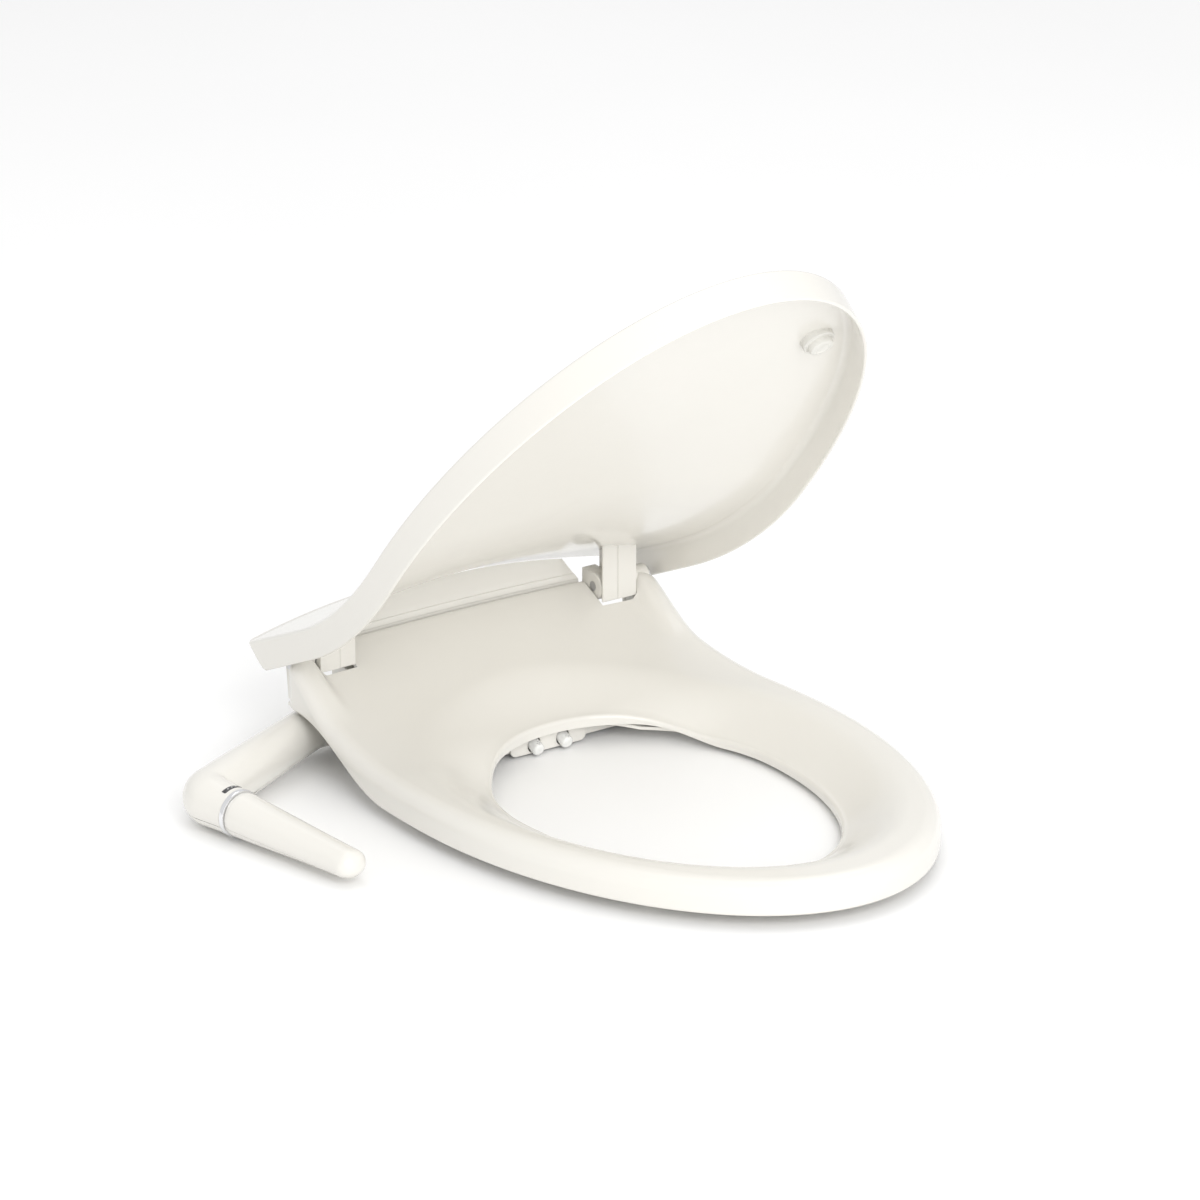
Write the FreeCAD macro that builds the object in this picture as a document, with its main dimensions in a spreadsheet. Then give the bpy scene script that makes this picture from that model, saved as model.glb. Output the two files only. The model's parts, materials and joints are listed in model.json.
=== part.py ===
import FreeCAD, Part
import math
import os
from FreeCAD import Placement, Rotation, Vector

# Bidet toilet seat worked by water pressure, for an elongated bowl.
# Frame: millimetres, +Z up, -Y towards the front of the bowl, +X to the right seen from the front.
# Origin: on the top of the bowl, midway between the two bolts that hold the seat to the bowl.
# Everything on the lid is built with the lid shut and then turned open about the hinge.

doc = FreeCAD.newDocument("BidetSeat")
sheet = doc.addObject("Spreadsheet::Sheet", "Sizes")

SIZES = [
    # hinge line
    ("hinge_depth", 20, "hinge line behind the bowl bolts"),
    ("hinge_height", 76.4, "hinge line above the bowl"),
    ("pin_radius", 4, "hinge pin"),
    ("running_fit", 0.05, "radial play of pins, wands and spindle"),
    ("clearance", 0.4, "gap between pieces that move past each other"),
    ("pin_lug_start", 113, "from the middle to the inner face of the housing's hinge lug"),
    ("pin_lug_width", 13, "width of the housing's hinge lug"),
    ("lid_knuckle_width", 17, "width of each lid knuckle"),
    ("seat_lug_width", 16, "width of each seat lug"),
    ("lug_gap", 1, "side gap between neighbouring lugs"),
    ("lug_radius", 11, "radius of the lugs about the hinge line"),
    # lid
    ("lid_half_width", 185, "half the width of the lid at its widest"),
    ("widest_depth", -180, "where lid and seat are widest"),
    ("lid_front_reach", 291.7, "widest place to the tip of the lid"),
    ("lid_rear_half", 171, "half the width of the lid at its rear edge"),
    ("lid_rear_depth", 51, "rear edge of the lid"),
    ("lid_rim_height", 18.9, "lower rim of the shut lid above the bowl, front part"),
    ("lid_skirt", 25.8, "height of the skirt of the lid"),
    ("lid_wall", 3, "wall of the lid"),
    ("lid_crown_front", 12, "doming of the lid, front part"),
    ("lid_crown_rear", 20, "doming of the lid over the housing"),
    ("lid_open", 49.6, "angle at which the lid stands open"),
    ("rise_start", -170, "where the rim of the lid starts to rise"),
    ("rise_radius", 340, "radius of that rise"),
    ("rise_angle", 25.9, "slope of the rear part of lid and seat"),
    ("bumper_side", 115, "lid bumper to the side of the middle"),
    ("bumper_depth", -358, "lid bumper along the lid"),
    ("bumper_radius", 9.5, "lid bumper"),
    # seat
    ("seat_inset", 5.2, "seat edge inside the lid edge, all round"),
    ("seat_wall", 3.2, "wall of the seat shell"),
    ("seat_bottom", 9.3, "underside of the seat above the bowl"),
    ("seat_ridge", 34, "ridge of the seat above the bowl"),
    ("seat_rise_start", -125, "where the ridge of the seat starts to rise"),
    ("seat_rise_radius", 300, "radius of that rise"),
    ("seat_rear_depth", 32, "rear edge of the seat shell"),
    ("ear_rear_depth", 25, "rear end of the ears beside the housing"),
    ("ear_underside", 41.5, "underside of the ears above the bowl"),
    ("hole_half_width", 110, "half the width of the opening"),
    ("hole_depth", -205, "where the opening is widest"),
    ("hole_rear_reach", 120, "widest place to the rear edge of the opening"),
    ("hole_front_reach", 180, "widest place to the front edge of the opening"),
    ("lip_side", 9, "top of the lip round the opening"),
    ("lip_rear", 23, "top of the lip at the rear of the opening"),
    ("lip_bottom", 3.5, "lowest edge of the lip"),
    ("lip_rear_bottom", 15, "lowest edge of the lip over the wands"),
    ("scoop_width", 55, "width of the slope round the opening"),
    ("plate_thick", 2.4, "underside plate of the seat"),
    # base
    ("housing_crown", 31, "radius of the housing about the hinge line, middle"),
    ("housing_end", 22.5, "radius of the housing about the hinge line, ends"),
    ("housing_face", 13.7, "front face of the housing behind the hinge line"),
    ("housing_wall", 2.5, "wall of the housing and the base"),
    ("base_half_width", 111, "half the width of the base under the seat"),
    ("base_front", -77, "front wall of the base"),
    ("base_front_height", 20, "height of the base at its front"),
    ("base_slope_end", 4, "where the slope of the base meets its top"),
    ("base_top", 57, "top of the base behind its slope"),
    ("cover_split", 60, "height at which the cover sits on the base"),
    ("base_rear", 42, "rear wall of the base"),
    ("base_floor", 4, "underside of the base, on the mounting plate"),
    ("floor_thick", 3, "floor plate of the base"),
    ("bolt_half_spacing", 70, "half the spacing of the bowl bolts"),
    ("bolt_slot_width", 11, "width of the slots for the bolts"),
    ("bolt_slot_length", 27, "length of the slots for the bolts, from side to side"),
    ("plate_half_width", 94, "half the width of the mounting plate"),
    ("plate_half_depth", 24, "half the depth of the mounting plate"),
    # wands
    ("wand_radius", 5, "wand tube"),
    ("wand_wall", 1.8, "wall of the wand tube"),
    ("piston_radius", 6.2, "piston at the rear end of a wand"),
    ("cassette_half", 7.4, "half the height of the wand cassette"),
    ("cassette_start", 12, "front of the cassette, along the wand from its tip"),
    ("gland_length", 10, "close-fitting front end of each bore of the cassette"),
    ("cassette_length", 76, "wand cassette"),
    ("wand_side", 13, "wands to the side of the middle"),
    ("wand_slope", 22, "slope of the wands"),
    ("wand_tip_depth", -81, "front end of the drawn-in wands"),
    ("wand_tip_height", 7.5, "height of that end"),
    ("wand_length", 84, "length of a wand"),
    # arm and handle
    ("arm_height", 21, "middle line of the arm above the bowl"),
    ("arm_knee_side", -146, "knee where the arm leaves the base"),
    ("arm_knee_depth", 18.3, "knee where the arm leaves the base"),
    ("elbow_side", -284, "elbow of the arm"),
    ("elbow_depth", -53, "elbow of the arm"),
    ("arm_root_radius", 16.8, "arm at the root"),
    ("arm_elbow_radius", 19, "arm at the elbow"),
    ("arm_wall", 2.4, "wall of the arm"),
    ("neck_length", 35, "elbow to the ring"),
    ("neck_radius", 17.4, "arm at the ring"),
    ("ring_width", 4, "bright ring"),
    ("handle_turn", 9, "handle towards the seat, from straight ahead"),
    ("handle_dip", 2.5, "fall of the handle towards its tip"),
    ("handle_length", 124, "handle"),
    ("handle_tip_half", 13, "half the width of the tip of the handle"),
    ("handle_tip_thick", 11, "half the thickness of the tip of the handle"),
    ("spindle_radius", 5, "valve spindle"),
    ("valve_start", 12, "elbow to the valve body"),
    ("valve_radius", 12, "valve body"),
    ("spindle_depth", 14, "spindle inside the neck"),
    ("hub_radius", 9.5, "hub inside the handle"),
    ("hub_length", 24, "hub inside the handle"),
    ("tip_dome", 10, "rounded end of the handle"),
    ("tube_radius", 2.6, "water tubes"),
    ("inlet_radius", 10.48, "inlet thread, half inch pipe"),
    ("inlet_bore", 5, "bore of the inlet"),
    ("inlet_tail_radius", 6.5, "tail of the inlet through the rear wall"),
    ("inlet_side", -70, "inlet to the side of the middle"),
    ("inlet_height", 14, "inlet above the bowl"),
    ("inlet_length", 12, "thread of the inlet"),
    # release button
    ("button_depth", 2, "release button along the base"),
    ("button_height", 22, "release button above the bowl"),
    ("button_travel", 4, "travel of the release button"),
]

for row, (alias, value, note) in enumerate(SIZES, start=1):
    sheet.set(f"A{row}", note)
    sheet.set(f"B{row}", str(value))
    sheet.setAlias(f"B{row}", alias)
doc.recompute()


def size(alias):
    """A driving dimension, read from the sheet."""
    return float(getattr(sheet, alias))


hinge = Vector(0, size("hinge_depth"), size("hinge_height"))
gap = size("clearance")
fit = size("running_fit")
rise = math.radians(size("rise_angle"))
high = 260
low = -60
side_limit = 260

parts = []


def add_shape(label, shape, placement=None):
    """A sub-part whose shape is made with Part's functions."""
    part = doc.addObject("Part::Feature", label)
    part.Label = label
    part.Shape = shape
    if placement is not None:
        part.Placement = placement.multiply(part.Placement)
    parts.append(part)
    return part


def origin_plane(body, role):
    for feature in body.Origin.OriginFeatures:
        if feature.Role == role:
            return feature
    raise ValueError(role)


def new_sketch(body, name, role):
    sketch = body.newObject("Sketcher::SketchObject", name)
    sketch.AttachmentSupport = (origin_plane(body, role), [""])
    sketch.MapMode = "FlatFace"
    return sketch


def join(shapes):
    first = shapes[0]
    return first.fuse(shapes[1:]).removeSplitter() if len(shapes) > 1 else first


def lowered(shape, distance):
    moved = shape.copy()
    moved.translate(Vector(0, 0, -distance))
    return moved


def both_sides(shape):
    """The shape and its mirror image across the middle plane."""
    return [shape, shape.mirror(Vector(0, 0, 0), Vector(1, 0, 0))]


def side_prism(points, x_low, x_high):
    """A (y, z) polygon pushed along X."""
    corners = [Vector(x_low, y, z) for y, z in points]
    face = Part.Face(Part.makePolygon(corners + corners[:1]))
    return face.extrude(Vector(x_high - x_low, 0, 0))


def block(x_low, x_high, y_low, y_high, z_low, z_high):
    return Part.makeBox(x_high - x_low, y_high - y_low, z_high - z_low, Vector(x_low, y_low, z_low))


def hinge_cylinder(radius, x_low, x_high):
    return Part.makeCylinder(radius, x_high - x_low, Vector(x_low, hinge.y, hinge.z), Vector(1, 0, 0))


def swept_height(y, level, start, radius):
    """Height of a line that is level, bends up on an arc and runs on at the rear slope."""
    end = start + radius * math.sin(rise)
    if y <= start:
        return level
    if y <= end:
        return level + radius - math.sqrt(radius ** 2 - (y - start) ** 2)
    return level + radius * (1 - math.cos(rise)) + (y - end) * math.tan(rise)


def blend(value, start, end):
    """Smooth step from 0 at start to 1 at end."""
    share = min(max((value - start) / (end - start), 0), 1)
    return (1 - math.cos(math.pi * share)) / 2


# ---------------------------------------------------------------- outlines

def lid_half(y, inset=0):
    """Half width of the lid behind its widest place."""
    narrowing = size("lid_half_width") - size("lid_rear_half")
    return size("lid_half_width") - inset - narrowing * blend(y, size("widest_depth"), size("lid_rear_depth"))


def outline_face(inset, rear):
    """Plan of the lid, moved inwards by inset and cut off straight at rear."""
    middle = Vector(0, size("widest_depth"), 0)
    half = size("lid_half_width") - inset
    reach = size("lid_front_reach") - inset
    tip = middle - Vector(0, reach, 0)
    ellipse = Part.Ellipse(tip, middle + Vector(half, 0, 0), middle)
    front = Part.ArcOfEllipse(ellipse, -math.pi / 2, math.pi / 2).toShape()
    steps = 6
    stations = [middle.y + (rear - middle.y) * i / steps for i in range(steps + 1)]
    sides = []
    for sign in (1, -1):
        curve = Part.BSplineCurve()
        curve.interpolate([Vector(sign * lid_half(y, inset), y, 0) for y in stations])
        sides.append(curve.toShape())
    back = Part.makeLine(sides[0].valueAt(sides[0].LastParameter), sides[1].valueAt(sides[1].LastParameter))
    wire = Part.Wire(Part.__sortEdges__([front, sides[0], back, sides[1]]))
    return Part.Face(wire)


def upright(face, z_low=low, z_high=high):
    face = face.copy()
    face.translate(Vector(0, 0, z_low))
    return face.extrude(Vector(0, 0, z_high - z_low))


def hole_prism(growth):
    """The opening of the seat, grown by growth, through everything."""
    middle = Vector(0, size("hole_depth"), 0)
    half = size("hole_half_width") + growth
    arcs = []
    for reach, sense in ((size("hole_rear_reach") + growth, 1), (size("hole_front_reach") + growth, -1)):
        end = middle + Vector(0, sense * reach, 0)
        ellipse = Part.Ellipse(end, middle + Vector(half, 0, 0), middle)
        arcs.append(Part.ArcOfEllipse(ellipse, -math.pi / 2, math.pi / 2).toShape())
    return upright(Part.Face(Part.Wire(Part.__sortEdges__(arcs))))


def height_sheet(height, y_low, y_high, columns, rows):
    """A smooth face through height(x, y) over the whole plan."""
    grid = []
    reach = size("lid_half_width") + 12
    for i in range(columns + 1):
        x = -reach + 2 * reach * i / columns
        grid.append([Vector(x, y, height(x, y)) for y in
                     [y_low + (y_high - y_low) * j / rows for j in range(rows + 1)]])
    surface = Part.BSplineSurface()
    surface.interpolate(grid)
    return surface.toShape()


def under_profile(level, start, radius, x_low=-side_limit, x_high=side_limit):
    """Everything below a swept line, seen from the side."""
    begin = size("widest_depth") - size("lid_front_reach") - 40
    finish = size("lid_rear_depth") + 60
    bend = start + radius * math.sin(rise)
    half_bend = start + radius * math.sin(rise / 2)

    def corner(y):
        return Vector(x_low, y, swept_height(y, level, start, radius))

    arc = Part.Arc(corner(start), corner(half_bend), corner(bend)).toShape()
    edges = [
        Part.makeLine(corner(begin), corner(start)),
        arc,
        Part.makeLine(corner(bend), corner(finish)),
        Part.makeLine(corner(finish), Vector(x_low, finish, low)),
        Part.makeLine(Vector(x_low, finish, low), Vector(x_low, begin, low)),
        Part.makeLine(Vector(x_low, begin, low), corner(begin)),
    ]
    return Part.Face(Part.Wire(Part.__sortEdges__(edges))).extrude(Vector(x_high - x_low, 0, 0))


# ---------------------------------------------------------------- heights

def rim_height(y):
    return swept_height(y, size("lid_rim_height"), size("rise_start"), size("rise_radius"))


def lid_top(x, y):
    """Outer surface of the shut lid."""
    middle = size("widest_depth")
    if y < middle:
        edge = (x / size("lid_half_width")) ** 2 + ((y - middle) / size("lid_front_reach")) ** 2
    else:
        edge = (x / lid_half(y)) ** 2
    growth = size("lid_crown_rear") - size("lid_crown_front")
    crown = size("lid_crown_front") + growth * blend(y, middle, size("hinge_depth"))
    return rim_height(y) + size("lid_skirt") + crown * (1 - edge)


def seat_top(x, y):
    """Outer surface of the seat, which falls from its ridge to the lip of the opening."""
    ridge = swept_height(y, size("seat_ridge"), size("seat_rise_start"), size("seat_rise_radius"))
    crown = 3 * (1 - (x / 150) ** 2) * blend(y, -60, size("hinge_depth"))
    depth = y - size("hole_depth")
    reach = size("hole_rear_reach") if depth > 0 else size("hole_front_reach")
    share = math.hypot(x / size("hole_half_width"), depth / reach)
    radius = math.hypot(x, depth)
    distance = radius * (1 - 1 / share) if share > 0.01 else -size("scoop_width")
    step = min(max(distance / size("scoop_width"), -1), 1)
    rising = 0.6 * math.sin(math.pi * step / 2) + 0.2 * (1 - math.cos(math.pi * step)) * (step > 0)
    rear = size("hole_depth") + size("hole_rear_reach")
    lip = size("lip_side") + (size("lip_rear") - size("lip_side")) * blend(y, rear - 65, rear)
    return lip + (ridge + crown - lip) * rising


# ---------------------------------------------------------------- seat and lid places

lug_start = size("pin_lug_start")
lug_end = lug_start + size("pin_lug_width")
knuckle_start = lug_end + size("lug_gap")
knuckle_end = knuckle_start + size("lid_knuckle_width")
seat_lug_start = knuckle_end + size("lug_gap")
seat_lug_end = seat_lug_start + size("seat_lug_width")
bush_radius = size("pin_radius") + 4
pin_cap = 2
open_lid = Placement(Vector(0, 0, 0), Rotation(Vector(-1, 0, 0), size("lid_open")), hinge)


# ---------------------------------------------------------------- lid

def make_lid():
    top_sheet = height_sheet(lid_top, -520, 80, 12, 30)
    above = top_sheet.extrude(Vector(0, 0, high))
    above_roof = lowered(above, size("lid_wall"))
    rear = size("lid_rear_depth")
    below_rim = under_profile(size("lid_rim_height"), size("rise_start"), size("rise_radius"))
    hollow = upright(outline_face(size("lid_wall"), rear + 10)).cut(above_roof)
    shell = upright(outline_face(0, rear)).cut([above, below_rim]).cut(hollow)
    knuckle = hinge_cylinder(size("lug_radius"), knuckle_start, knuckle_end)
    web = block(knuckle_start, knuckle_end, hinge.y - size("lug_radius"), hinge.y + size("lug_radius"),
                hinge.z, hinge.z + 60)
    bore = hinge_cylinder(bush_radius, knuckle_start - 1, knuckle_end + 1)
    middle_above = lowered(above, size("lid_wall") / 2)
    knuckles = both_sides(knuckle.fuse(web).cut([middle_above, bore]))
    add_shape("lid_shell", shell.fuse(knuckles), open_lid)

    x, y = size("bumper_side"), size("bumper_depth")
    ceiling = lid_top(x, y) - size("lid_wall")
    radius = size("bumper_radius")
    floor = gap + max(seat_top(x + dx, y + dy) for dx in (-radius, 0, radius) for dy in (-radius, 0, radius))
    flange = Part.makeCylinder(radius + 3, ceiling - floor, Vector(x, y, floor + 5))
    pad = Part.makeCylinder(radius, ceiling - floor + 5, Vector(x, y, floor))
    pad = pad.makeFillet(2, [edge for edge in pad.Edges if abs(edge.BoundBox.ZMax - floor) < 1e-6])
    bumper = flange.fuse(pad).cut(above_roof)
    add_shape("lid_bumpers", Part.makeCompound(both_sides(bumper)), open_lid)


# ---------------------------------------------------------------- seat

def seat_underside(thickness=0):
    """Side view of the space below the seat: level under the ring, rising under the ears."""
    rise_foot, rise_head = -105, -15
    level = size("seat_bottom") + thickness
    ear = size("ear_underside") + thickness
    return side_prism([(-700, low), (-700, level), (rise_foot, level), (rise_head, ear), (100, ear), (100, low)],
                      -side_limit, side_limit)


seat_screw_places = [(150, -180), (118, -320), (46, -410)]
seat_bumper_places = [(104, -355), (152, -130)]


def make_seat():
    wall = size("seat_wall")
    inset = size("seat_inset")
    top_sheet = height_sheet(seat_top, -500, 60, 30, 44)
    above = top_sheet.extrude(Vector(0, 0, high))
    above_roof = lowered(above, wall)
    above_middle = lowered(above, wall / 2)
    rear = size("seat_rear_depth")
    ear_rear = size("ear_rear_depth")
    cavity = size("base_half_width") + size("lug_gap")
    behind_ears = both_sides(block(cavity, side_limit, ear_rear, 100, low, high))
    around_hole = hole_prism(wall)
    lip_profile = side_prism([(-700, low), (-700, size("lip_bottom")), (-160, size("lip_bottom")),
                              (-100, size("lip_rear_bottom")), (0, size("lip_rear_bottom")), (0, low)],
                             -side_limit, side_limit)
    inner_wall = block(cavity, cavity + wall, -70, ear_rear, low, high)
    hollow = upright(outline_face(inset + wall, ear_rear - wall)).cut([above_roof, around_hole] + both_sides(inner_wall))
    middle_hollow = block(-cavity, cavity, -75, 100, low, high).cut([above_roof, around_hole])
    shell = upright(outline_face(inset, rear)).cut([above, hole_prism(0)] + behind_ears)
    shell = shell.cut([hollow, middle_hollow, seat_underside().cut(around_hole), lip_profile.common(around_hole)])
    lug = hinge_cylinder(size("lug_radius"), seat_lug_start, seat_lug_end)
    web = block(seat_lug_start, seat_lug_end, hinge.y - size("lug_radius"), ear_rear,
                size("ear_underside") + size("plate_thick"), hinge.z)
    bore = hinge_cylinder(bush_radius, seat_lug_start - 1, seat_lug_end + pin_cap + gap)
    lug = lug.fuse(web)
    bosses = []
    pilots = []
    for x, y in seat_screw_places:
        bosses.append(Part.makeCylinder(3.5, 60, Vector(x, y, size("seat_bottom") + size("plate_thick")))
                      .cut(above_middle))
        pilots.append(Part.makeCylinder(1.5, 8, Vector(x, y, size("seat_bottom"))))
    slot_front = hinge.y - size("lug_radius") - 3.5
    slot = block(lug_start - size("lug_gap"), seat_lug_start - size("lug_gap") / 2, slot_front, 60, 50, high)
    pieces = both_sides(lug)
    for boss in bosses:
        pieces += both_sides(boss)
    shell = shell.fuse(pieces)
    cuts = both_sides(slot) + both_sides(bore)
    for pilot in pilots:
        cuts += both_sides(pilot)
    shell = shell.cut(cuts)
    add_shape("seat_shell", shell)

    inside = upright(outline_face(inset + wall + 0.1, ear_rear - wall - 0.1))
    plate = inside.common(seat_underside(size("plate_thick")))
    plate = plate.cut([lowered(above, wall + 0.1), seat_underside(), hole_prism(wall + 0.1),
                       block(-cavity - wall - 0.1, cavity + wall + 0.1, -84, 100, low, high)])
    holes = []
    for x, y in seat_screw_places:
        holes += both_sides(Part.makeCylinder(1.5, 30, Vector(x, y, 0)))
    add_shape("seat_plate", plate.cut(holes))

    screws = []
    for x, y in seat_screw_places:
        head = Part.makeCylinder(3, 1.8, Vector(x, y, size("seat_bottom") - 1.8))
        shank = Part.makeCylinder(1.5, 9.8, Vector(x, y, size("seat_bottom") - 1.8))
        screws += both_sides(head.fuse(shank))
    add_shape("seat_screws", Part.makeCompound(screws))

    pads = []
    for x, y in seat_bumper_places:
        pad = block(x - 8, x + 8, y - 15, y + 15, 0, size("seat_bottom"))
        upright_edges = [edge for edge in pad.Edges if edge.BoundBox.ZLength > 1]
        pad = pad.makeFillet(7, upright_edges)
        foot = [edge for edge in pad.Edges if edge.BoundBox.ZMax < 1e-6]
        pads += both_sides(pad.makeFillet(1.5, foot))
    add_shape("seat_bumpers", Part.makeCompound(pads))


# ---------------------------------------------------------------- hinge hardware

def make_hinge():
    for name, sign in (("left", -1), ("right", 1)):
        start = lug_start
        pin = hinge_cylinder(size("pin_radius"), start, seat_lug_end + pin_cap)
        head = hinge_cylinder(size("pin_radius") + 2.5, seat_lug_end + gap, seat_lug_end + pin_cap)
        pin = pin.fuse(head)
        if sign < 0:
            pin = pin.mirror(Vector(0, 0, 0), Vector(1, 0, 0))
        add_shape("hinge_pin_" + name, pin)

    rings = (("lid_bushing", 1, knuckle_start, knuckle_end), ("lid_damper", -1, knuckle_start, knuckle_end),
             ("seat_damper", 1, seat_lug_start, seat_lug_end), ("seat_bushing", -1, seat_lug_start, seat_lug_end))
    for name, sign, start, end in rings:
        ring = hinge_cylinder(bush_radius, start, end).cut(hinge_cylinder(size("pin_radius") + fit, start, end))
        if sign < 0:
            ring = ring.mirror(Vector(0, 0, 0), Vector(1, 0, 0))
        add_shape(name, ring, open_lid if name.startswith("lid") else None)


# ---------------------------------------------------------------- base

base_screw_places = [(100, -62), (100, 32)]


def barrel(shrink=0):
    """Crowned roller about the hinge line, as long as the housing with its lugs."""
    middle = size("housing_crown") - shrink
    ends = size("housing_end") - shrink
    reach = lug_end - shrink

    def at(x, radius):
        return Vector(x, hinge.y, hinge.z + radius)

    edges = [Part.makeLine(at(-reach, 0), at(-reach, ends)),
             Part.Arc(at(-reach, ends), at(0, middle), at(reach, ends)).toShape(),
             Part.makeLine(at(reach, ends), at(reach, 0)),
             Part.makeLine(at(reach, 0), at(-reach, 0))]
    return Part.Face(Part.Wire(edges)).revolve(hinge, Vector(1, 0, 0), 360)


def base_side(inward=0):
    """Side view of the base under the seat."""
    front = size("base_front") + inward
    rear = size("base_rear") - inward
    # the roof runs at a slope, so it comes down by more than its thickness
    top = size("base_top") - inward * 1.15
    bottom = size("base_floor") - (10 if inward else 0)
    return [(front, bottom), (front, size("base_front_height") - inward * 0.6), (size("base_slope_end"), top),
            (rear, top + 2), (rear, bottom)]


def wand_frame(side):
    """Placement of a wand: its own +Y runs back and up along the wand, from the tip."""
    tip = Vector(side, size("wand_tip_depth"), size("wand_tip_height"))
    return Placement(tip, Rotation(Vector(1, 0, 0), size("wand_slope")))


def along_wand(radius, start, end, side):
    rod = Part.makeCylinder(radius, end - start, Vector(0, start, 0), Vector(0, 1, 0))
    rod.Placement = wand_frame(side)
    return rod


cassette_half = size("cassette_half")
cassette_start = size("cassette_start")
cassette_end = cassette_start + size("cassette_length")
gland_end = cassette_start + size("gland_length")
chamber_radius = size("piston_radius")


def cassette_block():
    reach = size("wand_side") + cassette_half
    body = Part.makeBox(2 * reach, cassette_end - cassette_start, 2 * cassette_half,
                        Vector(-reach, cassette_start, -cassette_half))
    body.Placement = wand_frame(0)
    return body


def make_base():
    face = hinge.y + size("housing_face")
    split = size("cover_split")
    behind = block(-lug_end, lug_end, face, face + 60, split, high)
    inner = block(-lug_end, lug_end, face + size("housing_wall"), face + 60, split - 1, high)
    cover = barrel().common(behind).cut(barrel(size("housing_wall")).common(inner))
    ledge = block(-lug_start + 2, lug_start - 2, face - 0.7, face + 0.5, hinge.z + 5, hinge.z + 10)
    lug = hinge_cylinder(size("lug_radius"), lug_start, lug_end)
    web = block(lug_start, lug_end, hinge.y, face + 1, hinge.z - size("lug_radius"), hinge.z + size("lug_radius"))
    bore = hinge_cylinder(size("pin_radius"), lug_start - 1, lug_end + 1)
    lugs = both_sides(lug.fuse(web).cut(bore))
    add_shape("base_cover", join([cover, ledge] + lugs))

    half = size("base_half_width")
    wall = size("housing_wall")
    housing = side_prism(base_side(), -half, half).cut(side_prism(base_side(wall), -half + wall, half - wall))
    housing = housing.cut(block(-half, half, face - 0.2, size("base_rear") + 1, split - 0.2, high))
    for side in (-size("wand_side"), size("wand_side")):
        housing = housing.cut(along_wand(size("wand_radius") + 1.6, -10, 40, side))
    top_of_floor = size("base_floor") + size("floor_thick")
    inside = side_prism(base_side(wall / 2), -half + wall / 2, half - wall / 2)
    bosses, pilots = [], []
    for x, y in base_screw_places:
        bosses += both_sides(Part.makeCylinder(4, 60, Vector(x, y, top_of_floor)).common(inside))
        pilots += both_sides(Part.makeCylinder(1.5, 14, Vector(x, y, 0)))
    button = block(half - wall - 1, half + 1, size("button_depth") - 7 - gap, size("button_depth") + 7 + gap,
                   size("button_height") - 5 - gap, size("button_height") + 5 + gap)
    arm_hole = Part.makeCylinder(size("arm_root_radius") - size("arm_wall"), 10,
                                 Vector(-half - 1, arm_path[0].y, size("arm_height")), Vector(1, 0, 0))
    inlet_hole = Part.makeCylinder(size("inlet_tail_radius"), 20,
                                   Vector(size("inlet_side"), size("base_rear") - 12, size("inlet_height")),
                                   Vector(0, 1, 0))
    housing = housing.fuse(bosses).cut(pilots + [button, arm_hole, inlet_hole])
    add_shape("base_housing", housing)

    inner_half = half - wall - 0.1
    floor = block(-inner_half, inner_half, size("base_front") + wall + 0.1, size("base_rear") - wall - 0.1,
                  size("base_floor"), top_of_floor)
    windows = both_sides(block(size("bolt_half_spacing") - 20, size("bolt_half_spacing") + 20, -14, 14, 0, 20))
    holes = []
    for x, y in base_screw_places:
        holes += both_sides(Part.makeCylinder(1.5, 10, Vector(x, y, 0)))
    nozzle_bay = block(-28, 28, -100, -48, 0, 20)
    add_shape("base_floor", floor.cut(windows + holes + [nozzle_bay]))

    screws = []
    for x, y in base_screw_places:
        head = Part.makeCylinder(3, 1.6, Vector(x, y, size("base_floor") - 1.6))
        shank = Part.makeCylinder(1.5, 10.6, Vector(x, y, size("base_floor") - 1.6))
        screws += both_sides(head.fuse(shank))
    add_shape("base_screws", Part.makeCompound(screws))


def make_mounting():
    """Plate that the bowl bolts hold down; the base clips onto it."""
    body = doc.addObject("PartDesign::Body", "mounting_plate")
    body.Label = "mounting_plate"
    outline = new_sketch(body, "PlateOutline", "XY_Plane")
    wide, deep = size("plate_half_width"), size("plate_half_depth")
    corners = [Vector(-wide, -deep, 0), Vector(wide, -deep, 0), Vector(wide, deep, 0), Vector(-wide, deep, 0)]
    for i in range(4):
        outline.addGeometry(Part.LineSegment(corners[i], corners[(i + 1) % 4]), False)
    pad = body.newObject("PartDesign::Pad", "PlatePad")
    pad.Profile = outline
    pad.setExpression("Length", "Sizes.base_floor")
    doc.recompute()
    full = body.Shape.Volume
    slots = new_sketch(body, "PlateSlots", "XY_Plane")
    radius = size("bolt_slot_width") / 2
    straight = (size("bolt_slot_length") - size("bolt_slot_width")) / 2
    for side in (-1, 1):
        x = side * size("bolt_half_spacing")
        for y in (-radius, radius):
            slots.addGeometry(Part.LineSegment(Vector(x - straight, y, 0), Vector(x + straight, y, 0)), False)
        outer = Part.Circle(Vector(x + straight, 0, 0), Vector(0, 0, 1), radius)
        inner = Part.Circle(Vector(x - straight, 0, 0), Vector(0, 0, 1), radius)
        slots.addGeometry(Part.ArcOfCircle(outer, -math.pi / 2, math.pi / 2), False)
        slots.addGeometry(Part.ArcOfCircle(inner, math.pi / 2, 3 * math.pi / 2), False)
    pocket = body.newObject("PartDesign::Pocket", "PlateSlotCut")
    pocket.Profile = slots
    pocket.Type = "ThroughAll"
    pocket.Reversed = True
    doc.recompute()
    if body.Shape.Volume > full - 100:
        raise ValueError("the slots of the mounting plate were not cut")
    parts.append(body)


# ---------------------------------------------------------------- wands

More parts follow.
